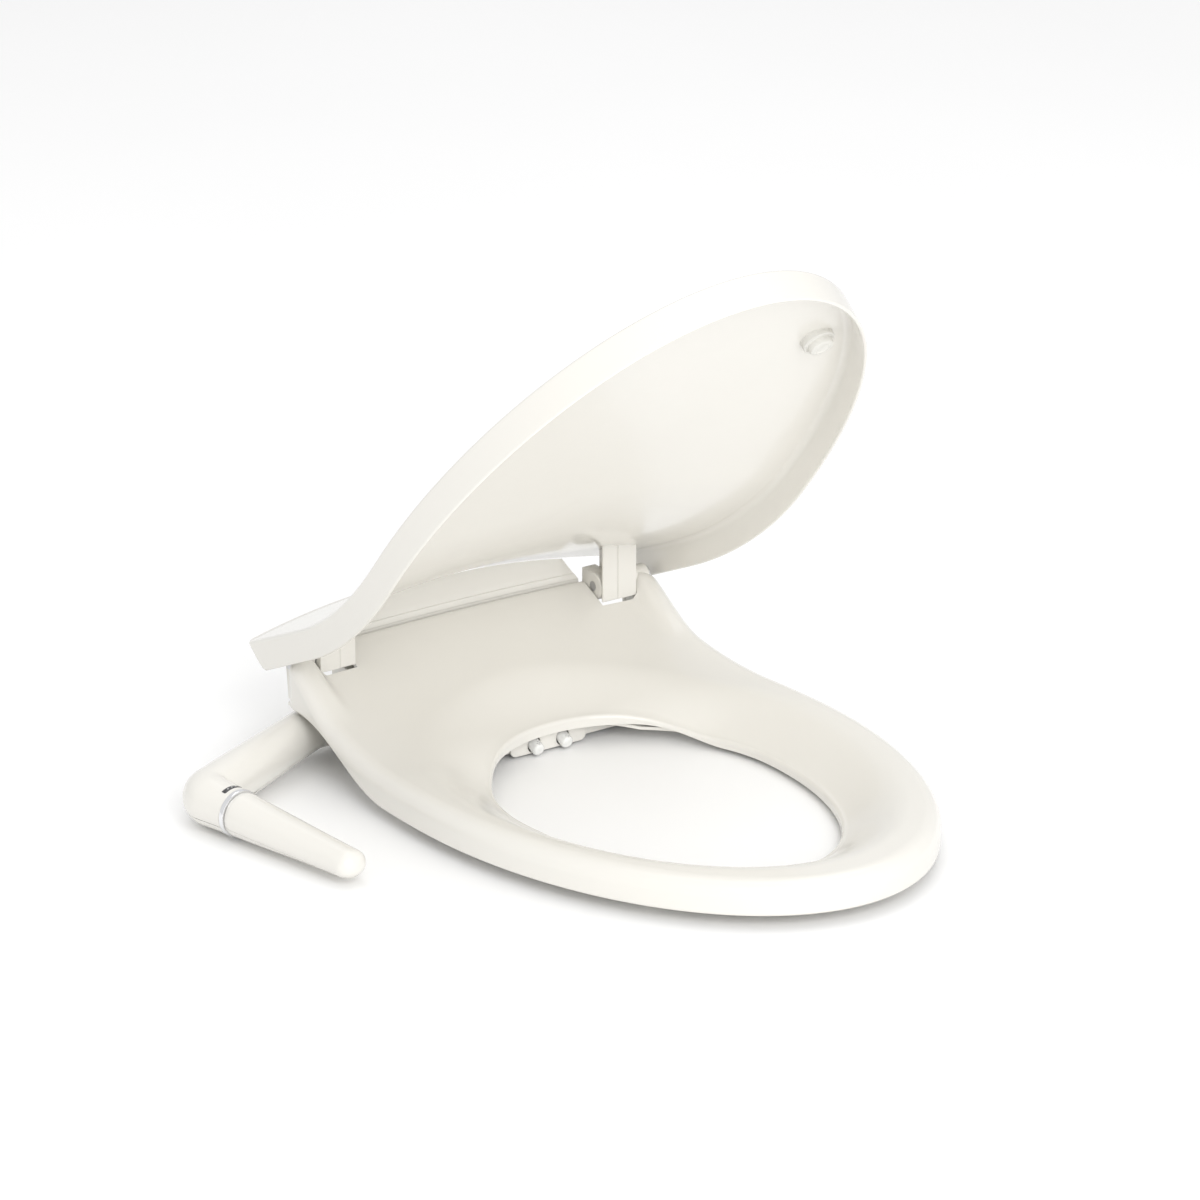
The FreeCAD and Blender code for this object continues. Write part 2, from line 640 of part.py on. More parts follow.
def coil(radius, wire, start, end, turns):
    """A coil spring along +Y from start to end."""
    helix = Part.makeHelix((end - start - 2 * wire) / turns, end - start - 2 * wire, radius)
    profile = Part.Wire(Part.makeCircle(wire, Vector(radius, 0, 0), Vector(0, 1, 0)))
    spring = Part.Wire(helix).makePipeShell([profile], True, True)
    spring.rotate(Vector(0, 0, 0), Vector(1, 0, 0), -90)
    spring.translate(Vector(0, start + wire, 0))
    if spring.Volume < 0:
        spring.reverse()
    return spring


def make_wands():
    side = size("wand_side")
    radius = size("wand_radius")
    block_shape = cassette_block()
    tools = []
    for x in (-side, side):
        tools.append(along_wand(radius + fit, cassette_start - 1, gland_end + 1, x))
        tools.append(along_wand(chamber_radius + fit, gland_end, cassette_end + 1, x))
    add_shape("wand_cassette", block_shape.cut(tools))

    reach = side + cassette_half
    cap = Part.makeBox(2 * reach, 4, 2 * cassette_half, Vector(-reach, cassette_end, -cassette_half))
    for x in (-side, side):
        port = Part.makeCylinder(3.4, 9, Vector(x, cassette_end + 3, 0), Vector(0, 1, 0))
        bore = Part.makeCylinder(size("tube_radius"), 20, Vector(x, cassette_end - 1, 0), Vector(0, 1, 0))
        cap = cap.fuse(port).cut(bore)
    add_shape("cassette_cap", cap, wand_frame(0))

    length = size("wand_length")
    head = 6
    for name, x in (("rear", -side), ("front", side)):
        rod = Part.makeCylinder(radius, length, Vector(0, 0, 0), Vector(0, 1, 0))
        piston = Part.makeCylinder(chamber_radius, head, Vector(0, length - head, 0), Vector(0, 1, 0))
        bore = Part.makeCylinder(radius - size("wand_wall"), length, Vector(0, 1.5, 0), Vector(0, 1, 0))
        outlet = Part.makeCylinder(1.5, 4, Vector(0, -1, 0), Vector(0, 1, 0))
        add_shape("wand_" + name, rod.fuse(piston).cut([bore, outlet]), wand_frame(x))

        tip = Part.makeCylinder(radius, 7, Vector(0, -7, 0), Vector(0, 1, 0))
        tip = tip.makeFillet(2.5, [edge for edge in tip.Edges if abs(edge.BoundBox.YMax + 7) < 1e-6])
        channel = Part.makeCylinder(1.5, 5, Vector(0, -5, 0), Vector(0, 1, 0))
        sprays = [Part.makeCylinder(0.6, 8, Vector(dx, dy, 0), Vector(0, 0, 1))
                  for dx, dy in ((-1, -3.2), (1, -3.2), (0, -4.6), (0, -1.8))]
        add_shape("nozzle_tip_" + name, tip.cut([channel] + sprays), wand_frame(x))

        spring = coil((radius + fit + chamber_radius) / 2, 0.4, gland_end, length - head, 9)
        add_shape("wand_spring_" + name, spring, wand_frame(x))

    front = size("base_front")
    shield = block(-34, 34, front - 3.2, front - 1.2, 1.5, 13.5)
    shield = shield.makeFillet(5, [edge for edge in shield.Edges if edge.BoundBox.YLength > 1.9
                                   and edge.BoundBox.ZMax < 2])
    stems = [block(sign * 29 - 2.5, sign * 29 + 2.5, front - 1.2, front, 5, 13) for sign in (-1, 1)]
    windows = [along_wand(radius + 1, -12, 20, x) for x in (-side, side)]
    add_shape("nozzle_shield", shield.fuse(stems).cut(windows))


# ---------------------------------------------------------------- arm and handle

arm_knee = Vector(size("arm_knee_side"), size("arm_knee_depth"), size("arm_height"))
arm_root = Vector(-size("base_half_width"), arm_knee.y, size("arm_height"))
elbow = Vector(size("elbow_side"), size("elbow_depth"), size("arm_height"))
turn = math.radians(size("handle_turn"))
dip = math.radians(size("handle_dip"))
handle_way = Vector(math.sin(turn) * math.cos(dip), -math.cos(turn) * math.cos(dip), -math.sin(dip))
neck_end = elbow + handle_way * size("neck_length")
arm_path = [arm_root, arm_knee, elbow, neck_end]
handle_start = size("neck_length") + size("ring_width") + gap


def handle_frame(distance):
    """Placement whose +Z runs along the handle, distance after the elbow, with +X level."""
    level = Vector(0, 0, 1).cross(handle_way).normalize()
    upward = handle_way.cross(level)
    matrix = FreeCAD.Matrix(level.x, upward.x, handle_way.x, 0,
                            level.y, upward.y, handle_way.y, 0,
                            level.z, upward.z, handle_way.z, 0,
                            0, 0, 0, 1)
    return Placement(elbow + handle_way * distance, Placement(matrix).Rotation)


def arm_solid(shrink, lengthen=0):
    """The arm from the base to the ring, shrink smaller all round."""
    root = size("arm_root_radius") - shrink
    bend = size("arm_elbow_radius") - shrink
    neck = size("neck_radius") - shrink
    outward = Vector(-1, 0, 0)
    along = elbow - arm_knee
    return join([
        Part.makeCylinder(root, (arm_knee - arm_root).Length + lengthen, arm_root - outward * lengthen, outward),
        Part.makeSphere(root, arm_knee),
        Part.makeCone(root, bend, along.Length, arm_knee, along),
        Part.makeSphere(bend, elbow),
        Part.makeCone(bend, neck, size("neck_length") + lengthen, elbow, handle_way),
    ])


def make_arm():
    shell = arm_solid(0).cut(arm_solid(size("arm_wall"), 1))
    end = Part.makeCylinder(60, 60, neck_end, handle_way)
    shell = shell.cut(end)
    split = size("arm_height") - 9
    lower_space = block(-400, 0, -200, 100, low, split)
    window = handle_slot(size("neck_length") - 8.5, size("neck_length") - 3.5)
    add_shape("arm_upper", shell.cut([lower_space, window]))
    add_shape("arm_lower", shell.common(lower_space))
    add_shape("indicator_window", window)

    ring = Part.makeCylinder(size("neck_radius") + 0.5, size("ring_width"))
    bore = Part.makeCylinder(size("neck_radius") - 5, size("ring_width"))
    add_shape("arm_ring", ring.cut(bore), handle_frame(size("neck_length")))

    body_start, body_end = size("valve_start"), size("neck_length") - 1
    body = Part.makeCylinder(size("valve_radius"), body_end - body_start)
    body = body.cut(Part.makeCylinder(size("spindle_radius") + fit, 20, Vector(0, 0, body_end - body_start - 18)))
    for place in tube_places:
        body = body.cut(Part.makeCylinder(size("tube_radius"), 6, Vector(place.x, place.y, -1)))
    add_shape("valve_body", body, handle_frame(body_start))
    ears = Part.makeCylinder(size("neck_radius") - size("arm_wall") - 1.6, 3)
    ears = ears.cut(Part.makeCylinder(size("valve_radius"), 3))
    add_shape("valve_clip", ears, handle_frame(body_end - 4))


def handle_slot(start, end):
    """A thin curved plate let into the top of the neck beside the ring."""
    outer = Part.makeCylinder(size("neck_radius") + 0.3, end - start)
    inner = Part.makeCylinder(size("neck_radius") - 1.2, end - start)
    wedge = Part.makeBox(16, 40, end - start, Vector(-8, 0, 0))
    plate = outer.cut(inner).common(wedge)
    plate.Placement = handle_frame(start)
    return plate


tube_places = [Vector(0, -6, 0), Vector(6, 2, 0), Vector(-6, 2, 0)]


def make_handle():
    length = size("handle_length")
    root = size("neck_radius") - 0.6
    wide, thick = size("handle_tip_half"), size("handle_tip_thick")

    def section(distance, across, deep):
        ellipse = Part.Ellipse(Vector(across, 0, distance), Vector(0, deep, distance), Vector(0, 0, distance))
        return Part.Wire(ellipse.toShape())

    tip_dome = size("tip_dome")
    reach = length - tip_dome

    def body(shrink):
        sections = []
        for share in (0, 0.3, 0.65, 1):
            across = root + (wide - root) * share - shrink
            deep = root + (thick - root) * share ** 0.8 - shrink
            sections.append(section(share * reach, across, deep))
        return Part.makeLoft(sections, True, False)

    rings = []
    for angle in (0, 25, 45, 62, 75):
        lean = math.radians(angle)
        rings.append(section(reach + tip_dome * math.sin(lean), wide * math.cos(lean), thick * math.cos(lean)))
    wall = size("arm_wall")
    outer = body(0).fuse(Part.makeLoft(rings, True, True))
    inner = body(wall)
    front = Part.makeCylinder(60, wall)
    shell = outer.cut(inner.cut(front))
    hub_bore = Part.makeCylinder(size("spindle_radius"), 60, Vector(0, 0, -1))
    shell = shell.cut(hub_bore)
    split = -(size("spindle_radius") + 1.5)
    lower_space = Part.makeBox(80, 60, 2 * length, Vector(-40, split - 60, -20))
    place = handle_frame(handle_start)
    add_shape("handle_upper", shell.cut(lower_space), place)
    add_shape("handle_lower", shell.common(lower_space), place)

    hub_length = size("hub_length")
    flat = Part.makeBox(40, 40, 60, Vector(-20, size("hub_radius") - 1.5, 0))
    hub = Part.makeCylinder(size("hub_radius"), hub_length, Vector(0, 0, wall)).cut([hub_bore, flat])
    add_shape("handle_hub", hub, place)
    spindle_start = size("neck_length") - size("spindle_depth")
    spindle = Part.makeCylinder(size("spindle_radius"), handle_start + wall + hub_length - spindle_start)
    groove = Part.makeTorus(size("spindle_radius"), 0.9, Vector(0, 0, 6))
    add_shape("valve_spindle", spindle.cut(groove), handle_frame(spindle_start))
    seal = groove.common(Part.makeCylinder(size("spindle_radius") + fit / 2, 20))
    add_shape("spindle_seal", seal, handle_frame(spindle_start))


# ---------------------------------------------------------------- water

def bent_tube(points, radius, bend):
    """A tube through straight runs joined by arcs of radius bend."""
    edges = []
    start = points[0]
    for i in range(1, len(points) - 1):
        before = (points[i] - points[i - 1]).normalize()
        after = (points[i + 1] - points[i]).normalize()
        angle = before.getAngle(after)
        trim = bend * math.tan(angle / 2)
        arc_start = points[i] - before * trim
        arc_end = points[i] + after * trim
        inward = (after - before).normalize()
        middle = points[i] + inward * (bend / math.cos(angle / 2) - bend)
        edges.append(Part.makeLine(start, arc_start))
        edges.append(Part.Arc(arc_start, middle, arc_end).toShape())
        start = arc_end
    edges.append(Part.makeLine(start, points[-1]))
    path = Part.Wire(edges)
    first = (points[1] - points[0]).normalize()
    circle = Part.Wire(Part.makeCircle(radius, points[0], first))
    tube = path.makePipeShell([circle], True, False)
    expected = math.pi * radius ** 2 * path.Length
    if abs(tube.Volume - expected) > expected * 0.02:
        raise ValueError("a water tube is not as long as its path")
    return tube


def arm_point(corner, place):
    """A tube's corner in the arm: its place in the valve carried back along the arm."""
    level = Vector(0, 0, 1).cross(handle_way).normalize()
    outward = (elbow - arm_knee).normalize()
    if corner == "root":
        return arm_root + Vector(20, -place.x, place.y)
    if corner == "knee":
        half = math.tan(Vector(-1, 0, 0).getAngle(outward) / 2)
        return arm_knee + Vector(-place.x * half, -place.x, place.y)
    if corner == "elbow":
        half = math.tan(outward.getAngle(handle_way) / 2)
        return elbow + level * place.x + handle_way * place.x * half + Vector(0, 0, place.y)
    raise ValueError(corner)


def make_water():
    valve_face = handle_frame(size("valve_start"))
    radius = size("tube_radius")
    back = wand_frame(0)
    rear_port = back.multVec(Vector(-size("wand_side"), cassette_end + 3, 0))
    front_port = back.multVec(Vector(size("wand_side"), cassette_end + 3, 0))
    way_out = back.Rotation.multVec(Vector(0, 1, 0))
    inlet = Vector(size("inlet_side"), size("base_rear") - size("housing_wall") - 6, size("inlet_height"))
    # each wash tube leaves its port, then turns at a point clear of the other one
    rear_turn = Vector(-45, 14, 38)
    front_turn = Vector(-40, 30, 44)
    starts = {
        "supply_tube": [inlet, inlet + Vector(0, -10, 0)],
        "rear_wash_tube": [rear_port, rear_port + way_out * 15, rear_turn],
        "front_wash_tube": [front_port, front_port + way_out * 24, front_turn],
    }
    for (name, route), place in zip(starts.items(), tube_places):
        in_arm = [arm_point(corner, place) for corner in ("root", "knee", "elbow")]
        finish = valve_face.multVec(place + Vector(0, 0, 0.5))
        add_shape(name, bent_tube(route + in_arm + [finish], radius, 5))

    rear = size("base_rear")
    at_inlet = Vector(size("inlet_side"), rear, size("inlet_height"))
    back_way = Vector(0, 1, 0)
    nipple = Part.makeCylinder(size("inlet_radius"), size("inlet_length"), at_inlet + Vector(0, 2, 0), back_way)
    flange = Part.makeCylinder(size("inlet_radius") + 1.5, 2, at_inlet, back_way)
    tail_length = size("housing_wall") + 5
    tail = Part.makeCylinder(size("inlet_tail_radius"), tail_length, at_inlet - Vector(0, tail_length, 0), back_way)
    bore = Part.makeCylinder(size("inlet_bore"), size("inlet_length") + 1, at_inlet + Vector(0, 2, 0), back_way)
    way_in = Part.makeCylinder(size("tube_radius"), 30, at_inlet - Vector(0, 12, 0), back_way)
    add_shape("inlet_fitting", nipple.fuse([flange, tail]).cut([bore, way_in]))
    screen = Part.makeCylinder(size("inlet_bore"), 1.2, at_inlet + Vector(0, 4, 0), back_way)
    add_shape("inlet_filter", screen)


# ---------------------------------------------------------------- release button

def make_button():
    half = size("base_half_width")
    depth, height = size("button_depth"), size("button_height")
    body = doc.addObject("PartDesign::Body", "release_button")
    body.Label = "release_button"
    outline = new_sketch(body, "ButtonOutline", "YZ_Plane")
    corners = [Vector(-7, -5, 0), Vector(7, -5, 0), Vector(7, 5, 0), Vector(-7, 5, 0)]
    for i in range(4):
        outline.addGeometry(Part.LineSegment(corners[i], corners[(i + 1) % 4]), False)
    pad = body.newObject("PartDesign::Pad", "ButtonPad")
    pad.Profile = outline
    pad.Length = 14
    doc.recompute()
    outer = [f"Edge{i + 1}" for i, edge in enumerate(body.Shape.Edges) if edge.BoundBox.XMin > 13.9]
    rounding = body.newObject("PartDesign::Fillet", "ButtonRounding")
    rounding.Base = (pad, outer)
    rounding.Radius = 1.5
    body.Placement.Base = Vector(half - 9, depth, height)
    parts.append(body)

    bar = block(half - 45, half - 9, depth - 5, depth + 5, height - 3, height + 3)
    bar = bar.cut(block(half - 40, half - 20, depth - 2, depth + 2, 0, 60))
    add_shape("latch_bar", bar)
    spring = coil(2.2, 0.4, 0, 16, 8)
    spring.rotate(Vector(0, 0, 0), Vector(0, 0, 1), 90)
    spring.translate(Vector(half - 45, depth, height))
    add_shape("release_spring", spring)
    stop = block(half - 65, half - 61, depth - 6, depth + 6, size("base_floor") + size("floor_thick"), height + 4)
    add_shape("spring_stop", stop)


# ---------------------------------------------------------------- build, check and write

make_lid()
make_seat()
make_hinge()
make_base()
make_mounting()
make_wands()
make_arm()
make_handle()
make_water()
make_button()
doc.recompute()

for item in doc.Objects:
    if "Invalid" in item.State or "Error" in item.State:
        raise ValueError(f"{item.Label} failed")
os.makedirs("parts", exist_ok=True)
for part in parts:
    shape = part.Shape
    if shape.isNull() or not shape.isValid():
        raise ValueError(f"{part.Label} has no valid shape")
    shape.exportStep(f"parts/{part.Label}.step")
    print(part.Label, len(shape.Solids), round(shape.Volume / 1000, 2))
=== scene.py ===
import json
import math

import bpy
from mathutils import Matrix, Vector

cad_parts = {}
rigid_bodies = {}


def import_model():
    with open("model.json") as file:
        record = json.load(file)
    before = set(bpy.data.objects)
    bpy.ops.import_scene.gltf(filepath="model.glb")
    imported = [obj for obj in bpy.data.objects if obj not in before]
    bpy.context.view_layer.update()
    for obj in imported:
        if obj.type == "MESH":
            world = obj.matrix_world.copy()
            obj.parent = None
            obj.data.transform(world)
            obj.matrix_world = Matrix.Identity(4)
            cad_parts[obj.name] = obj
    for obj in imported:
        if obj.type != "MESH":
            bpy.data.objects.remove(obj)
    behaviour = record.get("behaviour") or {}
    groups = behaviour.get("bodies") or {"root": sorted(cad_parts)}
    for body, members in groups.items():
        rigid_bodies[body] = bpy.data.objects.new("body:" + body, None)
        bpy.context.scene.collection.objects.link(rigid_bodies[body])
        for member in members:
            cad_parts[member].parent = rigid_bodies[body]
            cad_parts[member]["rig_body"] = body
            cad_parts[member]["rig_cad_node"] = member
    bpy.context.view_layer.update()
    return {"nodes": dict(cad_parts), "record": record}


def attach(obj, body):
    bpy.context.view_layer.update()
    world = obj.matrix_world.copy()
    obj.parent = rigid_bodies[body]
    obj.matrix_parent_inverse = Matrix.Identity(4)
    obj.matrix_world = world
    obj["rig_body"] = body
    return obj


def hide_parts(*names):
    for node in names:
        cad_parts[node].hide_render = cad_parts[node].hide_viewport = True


# Bidet toilet seat with a twist handle. Sizes are in millimetres until a piece is placed.
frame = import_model()
nodes = frame["nodes"]
print("frame loaded:", len(nodes), "nodes")

mm = 0.001
hinge = Vector((0, 20, 76.4))
openAngle = 49.6          # the lid stands this far open
rearSlope = math.radians(25.9)


# ---- camera, floor and light

view = {"place": (-2.4045, -3.4671, 1.6407), "tilt": 69.88, "turn": -35.9, "lens": 180.3}
bpy.ops.object.select_all(action="DESELECT")
bpy.ops.object.camera_add(location=view["place"],
                          rotation=(math.radians(view["tilt"]), 0, math.radians(view["turn"])))
camera = bpy.context.object
camera.data.lens = view["lens"]
camera.data.sensor_width = 36
camera.data.clip_end = 60
bpy.context.scene.camera = camera

light = {"world": 0.84, "key": 56, "top": 14, "floor": (0.98, 0.98, 0.98)}
bpy.ops.mesh.primitive_plane_add(size=24, location=(0, 0, -0.0006))
floor = bpy.context.object
floor.name = "floor"


def aim(lamp, target):
    way = Vector(target) - lamp.location
    lamp.rotation_euler = way.to_track_quat("-Z", "Y").to_euler()


for name, place, size, power in (("keyLight", (-0.9, -3.0, 1.7), 2.0, light["key"]),
                                 ("topLight", (0.5, 0.3, 2.6), 2.4, light["top"])):
    bpy.ops.object.light_add(type="AREA", location=place)
    lamp = bpy.context.object
    lamp.name = name
    lamp.data.size = size
    lamp.data.energy = power
    aim(lamp, (0, -0.2, 0.1))

world = bpy.data.worlds.new("studio")
bpy.context.scene.world = world
world.use_nodes = True
world.node_tree.nodes["Background"].inputs["Color"].default_value = (1, 1, 1, 1)
world.node_tree.nodes["Background"].inputs["Strength"].default_value = light["world"]
bpy.context.scene.view_settings.view_transform = "Standard"
print("stage set")


# ---- finishes

class Wire:
    # a socket that can stand in a sum
    def __init__(self, finish, socket):
        self.finish = finish
        self.socket = socket

    def sum(self, operation, first, second):
        return self.finish.add("ShaderNodeMath", {"operation": operation}, {0: first, 1: second})

    def __add__(self, other):
        return self.sum("ADD", self, other)

    def __radd__(self, other):
        return self.sum("ADD", other, self)

    def __sub__(self, other):
        return self.sum("SUBTRACT", self, other)

    def __rsub__(self, other):
        return self.sum("SUBTRACT", other, self)

    def __mul__(self, other):
        return self.sum("MULTIPLY", self, other)

    def __lt__(self, other):
        return self.sum("LESS_THAN", self, other)


class Finish:
    # one material and its nodes
    def __init__(self, name):
        self.material = bpy.data.materials.new(name)
        self.material.use_nodes = True
        self.tree = self.material.node_tree
        self.shader = self.tree.nodes["Principled BSDF"]

    def add(self, kind, settings, sockets, output=0):
        node = self.tree.nodes.new(kind)
        for key, value in settings.items():
            setattr(node, key, value)
        for key, value in sockets.items():
            if isinstance(value, Wire):
                self.tree.links.new(value.socket, node.inputs[key])
            else:
                node.inputs[key].default_value = value
        return Wire(self, node.outputs[output])

    def feed(self, **sockets):
        names = {"baseColor": "Base Color", "roughness": "Roughness", "metallic": "Metallic",
                 "normal": "Normal", "coat": "Coat Weight", "coatRoughness": "Coat Roughness", "ior": "IOR",
                 "specular": "Specular IOR Level", "subsurface": "Subsurface Weight"}
        for key, value in sockets.items():
            target = self.shader.inputs[names[key]]
            if isinstance(value, Wire):
                self.tree.links.new(value.socket, target)
            else:
                target.default_value = value

    def place(self, scale=(1, 1, 1), turn=(0, 0, 0)):
        spot = self.add("ShaderNodeTexCoord", {}, {}, "Object")
        turned = tuple(math.radians(angle) for angle in turn)
        return self.add("ShaderNodeMapping", {}, {"Vector": spot, "Scale": scale, "Rotation": turned})

    def noise(self, scale, detail=3, where=None, rough=0.5):
        sockets = {"Scale": scale, "Detail": detail, "Roughness": rough, "Vector": where or self.place()}
        return self.add("ShaderNodeTexNoise", {}, sockets, "Fac")

    def tint(self, factor, low, high):
        # sockets 0, 6 and 7 are the factor and the two colours, output 2 the mixed colour
        sockets = {0: factor, 6: (*low, 1), 7: (*high, 1)}
        return self.add("ShaderNodeMix", {"data_type": "RGBA"}, sockets, 2)

    def bump(self, height, strength, distance):
        return self.add("ShaderNodeBump", {}, {"Height": height, "Strength": strength, "Distance": distance})


shellTone = {"light": (0.79, 0.772, 0.724), "shade": (0.765, 0.745, 0.695), "roughness": 0.2, "coat": 0.35}


def glossShell(name, tone):
    # injection-moulded gloss plastic: slow colour drift, flow marks, a faint orange peel and hairline rubs
    finish = Finish(name)
    drift = finish.noise(5.5, 2)
    flow = finish.noise(16, 3, finish.place((1, 0.22, 1), (0, 0, 12)))
    peel = finish.noise(620, 2)
    speck = finish.noise(2400, 1)
    rubs = finish.noise(90, 5, finish.place((1, 14, 3), (8, 0, 33)), 0.65)
    finish.feed(baseColor=finish.tint(drift * 0.7 + flow * 0.3, tone["shade"], tone["light"]),
                roughness=tone["roughness"] + drift * 0.05 + (rubs - 0.5) * 0.09 + speck * 0.02,
                coat=tone["coat"] - (rubs - 0.5) * 0.12,
                coatRoughness=0.07, ior=1.5,
                normal=finish.bump(peel * 0.7 + speck * 0.3, 0.06, 0.0003))
    return finish.material


def satinPlastic(name, dark, pale, grain):
    # inner mouldings: fine spark-eroded grain
    finish = Finish(name)
    drift = finish.noise(11, 3)
    grit = finish.noise(grain, 4, rough=0.7)
    finish.feed(baseColor=finish.tint(drift * 0.6 + grit * 0.4, dark, pale),
                roughness=0.46 + grit * 0.16,
                normal=finish.bump(grit, 0.18, 0.0002))
    return finish.material


def softRubber(name, dark, pale):
    finish = Finish(name)
    dust = finish.noise(34, 4)
    pores = finish.noise(1500, 3)
    finish.feed(baseColor=finish.tint(dust, dark, pale),
                roughness=0.66 + dust * 0.18,
                specular=0.35,
                normal=finish.bump(pores, 0.22, 0.0002))
    return finish.material


def brushedMetal(name, dark, pale, stretch, shine):
    finish = Finish(name)
    lines = finish.noise(240, 5, finish.place(stretch), 0.7)
    stain = finish.noise(20, 3)
    finish.feed(baseColor=finish.tint(lines * 0.6 + stain * 0.4, dark, pale),
                metallic=1.0,
                roughness=shine + lines * 0.14 + stain * 0.05,
                normal=finish.bump(lines, 0.12, 0.0001))
    return finish.material


def mirrorBand(name):
    # bright plated ring with a trace of handling marks
    finish = Finish(name)
    smear = finish.noise(55, 4, finish.place((1, 3, 1)))
    finish.feed(baseColor=finish.tint(smear, (0.74, 0.75, 0.77), (0.88, 0.88, 0.89)),
                metallic=1.0,
                roughness=0.05 + smear * 0.1,
                normal=finish.bump(finish.noise(700, 2), 0.02, 0.0001))
    return finish.material


def waterTube(name):
    finish = Finish(name)
    haze = finish.noise(60, 4)
    finish.feed(baseColor=finish.tint(haze, (0.62, 0.68, 0.71), (0.78, 0.82, 0.84)),
                roughness=0.24 + haze * 0.14,
                subsurface=0.15,
                normal=finish.bump(finish.noise(380, 3), 0.06, 0.0002))
    return finish.material


# ---- mesh helpers

def metres(point):
    return Vector(point) * mm


def alone(piece):
    bpy.ops.object.select_all(action="DESELECT")
    piece.select_set(True)
    bpy.context.view_layer.objects.active = piece


def tidyMesh(piece, angle=40):
    alone(piece)
    bpy.ops.object.mode_set(mode="EDIT")
    bpy.ops.mesh.select_all(action="SELECT")
    bpy.ops.mesh.remove_doubles(threshold=1e-6)
    bpy.ops.mesh.normals_make_consistent(inside=False)
    bpy.ops.object.mode_set(mode="OBJECT")
    bpy.ops.object.shade_smooth_by_angle(angle=math.radians(angle))


def wrap(name, rings, angle=40):
    # a grid laid round the piece: each ring is one closed row
    around = len(rings[0])
    bpy.ops.object.select_all(action="DESELECT")
    bpy.ops.mesh.primitive_grid_add(x_subdivisions=around, y_subdivisions=len(rings) - 1, size=0.1)
    piece = bpy.context.object
    piece.name = name
    piece.data.name = name
    spots = [metres(ring[i % around]) for ring in rings for i in range(around + 1)]
    for vertex, spot in zip(piece.data.vertices, spots):
        vertex.co = spot
    tidyMesh(piece, angle)
    return piece


def applied(piece, kind, **settings):
    alone(piece)
    modifier = piece.modifiers.new(kind.lower(), kind)
    for key, value in settings.items():
        setattr(modifier, key, value)
    bpy.ops.object.modifier_apply(modifier=modifier.name)


def joined(name, pieces):
    bpy.ops.object.select_all(action="DESELECT")
    for piece in pieces:
        piece.select_set(True)
    bpy.context.view_layer.objects.active = pieces[0]
    bpy.ops.object.join()
    pieces[0].name = name
    pieces[0].data.name = name
    return pieces[0]


def copyOf(piece, name):
    twin = piece.copy()
    twin.data = piece.data.copy()
    twin.name = name
    twin.data.name = name
    bpy.context.scene.collection.objects.link(twin)
    return twin


def mirroredLoop(half):
    # right half from the front middle to the rear middle, then back along the left
    left = [Vector((-point.x, point.y, point.z)) for point in reversed(half[1:-1])]
    return half + left


def ease(value, start, end):
    share = min(max((value - start) / (end - start), 0), 1)
    return (1 - math.cos(math.pi * share)) / 2


def sweptHeight(y, level, start, radius):
    end = start + radius * math.sin(rearSlope)
    if y <= start:
        return level
    if y <= end:
        return level + radius - math.sqrt(radius ** 2 - (y - start) ** 2)
    return level + radius * (1 - math.cos(rearSlope)) + (y - end) * math.tan(rearSlope)


def turnedOpen(point):
    # from the shut lid to the open one
    angle = math.radians(openAngle)
    y, z = point.y - hinge.y, point.z - hinge.z
    return Vector((point.x, hinge.y + y * math.cos(angle) + z * math.sin(angle),
                   hinge.z - y * math.sin(angle) + z * math.cos(angle)))


def finished(piece, body, slot, material, *replaced):
    piece.data.materials.clear()
    piece.data.materials.append(material)
    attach(piece, body)
    if replaced:
        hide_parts(*replaced)


shellFinish = glossShell("glossShell", shellTone)
innerFinish = satinPlastic("satinGrey", (0.5, 0.5, 0.48), (0.62, 0.62, 0.6), 900)
rubberFinish = softRubber("paleRubber", (0.66, 0.65, 0.61), (0.78, 0.77, 0.73))
steelFinish = brushedMetal("drawnSteel", (0.5, 0.5, 0.51), (0.68, 0.68, 0.69), (1, 8, 1), 0.22)
brassFinish = brushedMetal("turnedBrass", (0.55, 0.42, 0.2), (0.72, 0.57, 0.29), (6, 1, 6), 0.24)
ringFinish = mirrorBand("platedRing")
tubeFinish = waterTube("waterTube")
print("finishes made")


# ---- outlines shared by lid and seat

plan = {"half": 185, "widest": -180, "reach": 291.7, "rearHalf": 171, "rear": 51}


def planHalf(y):
    return plan["half"] - (plan["half"] - plan["rearHalf"]) * ease(y, plan["widest"], plan["rear"])


def outline(inset, rearAt, corner, frontSteps=60, sideSteps=28, cornerSteps=9, backSteps=16):
    # rearAt(x) gives the depth of the rear edge
    half = []
    for i in range(frontSteps):
        angle = math.pi / 2 * i / frontSteps
        half.append(Vector(((plan["half"] - inset) * math.sin(angle),
                            plan["widest"] - (plan["reach"] - inset) * math.cos(angle), 0)))
    rear = rearAt(plan["rearHalf"])
    turn = rear - corner
    for i in range(sideSteps):
        y = plan["widest"] + (turn - plan["widest"]) * i / sideSteps
        half.append(Vector((planHalf(y) - inset, y, 0)))
    middle = planHalf(turn) - inset - corner
    for i in range(cornerSteps):
        angle = math.pi / 2 * i / cornerSteps
        half.append(Vector((middle + corner * math.cos(angle), turn + corner * math.sin(angle), 0)))
    for i in range(backSteps + 1):
        x = middle * (1 - i / backSteps)
        half.append(Vector((x, rearAt(x), 0)))
    return mirroredLoop(half)


def backShare(points, corner, rear):
    # 0 on the front and sides, 1 along the back, changing over the corner
    return [ease(point.y, rear - corner, rear) for point in points]


# ---- lid

lid = {"rim": 18.9, "skirt": 25.8, "wall": 3.0, "crownFront": 12, "crownRear": 20, "riseStart": -170,
       "riseRadius": 340, "edgeRound": 2.4, "rearRound": 1.4, "rimRound": 1.3, "innerRound": 5, "corner": 9}


def rimHeight(y):
    return sweptHeight(y, lid["rim"], lid["riseStart"], lid["riseRadius"])


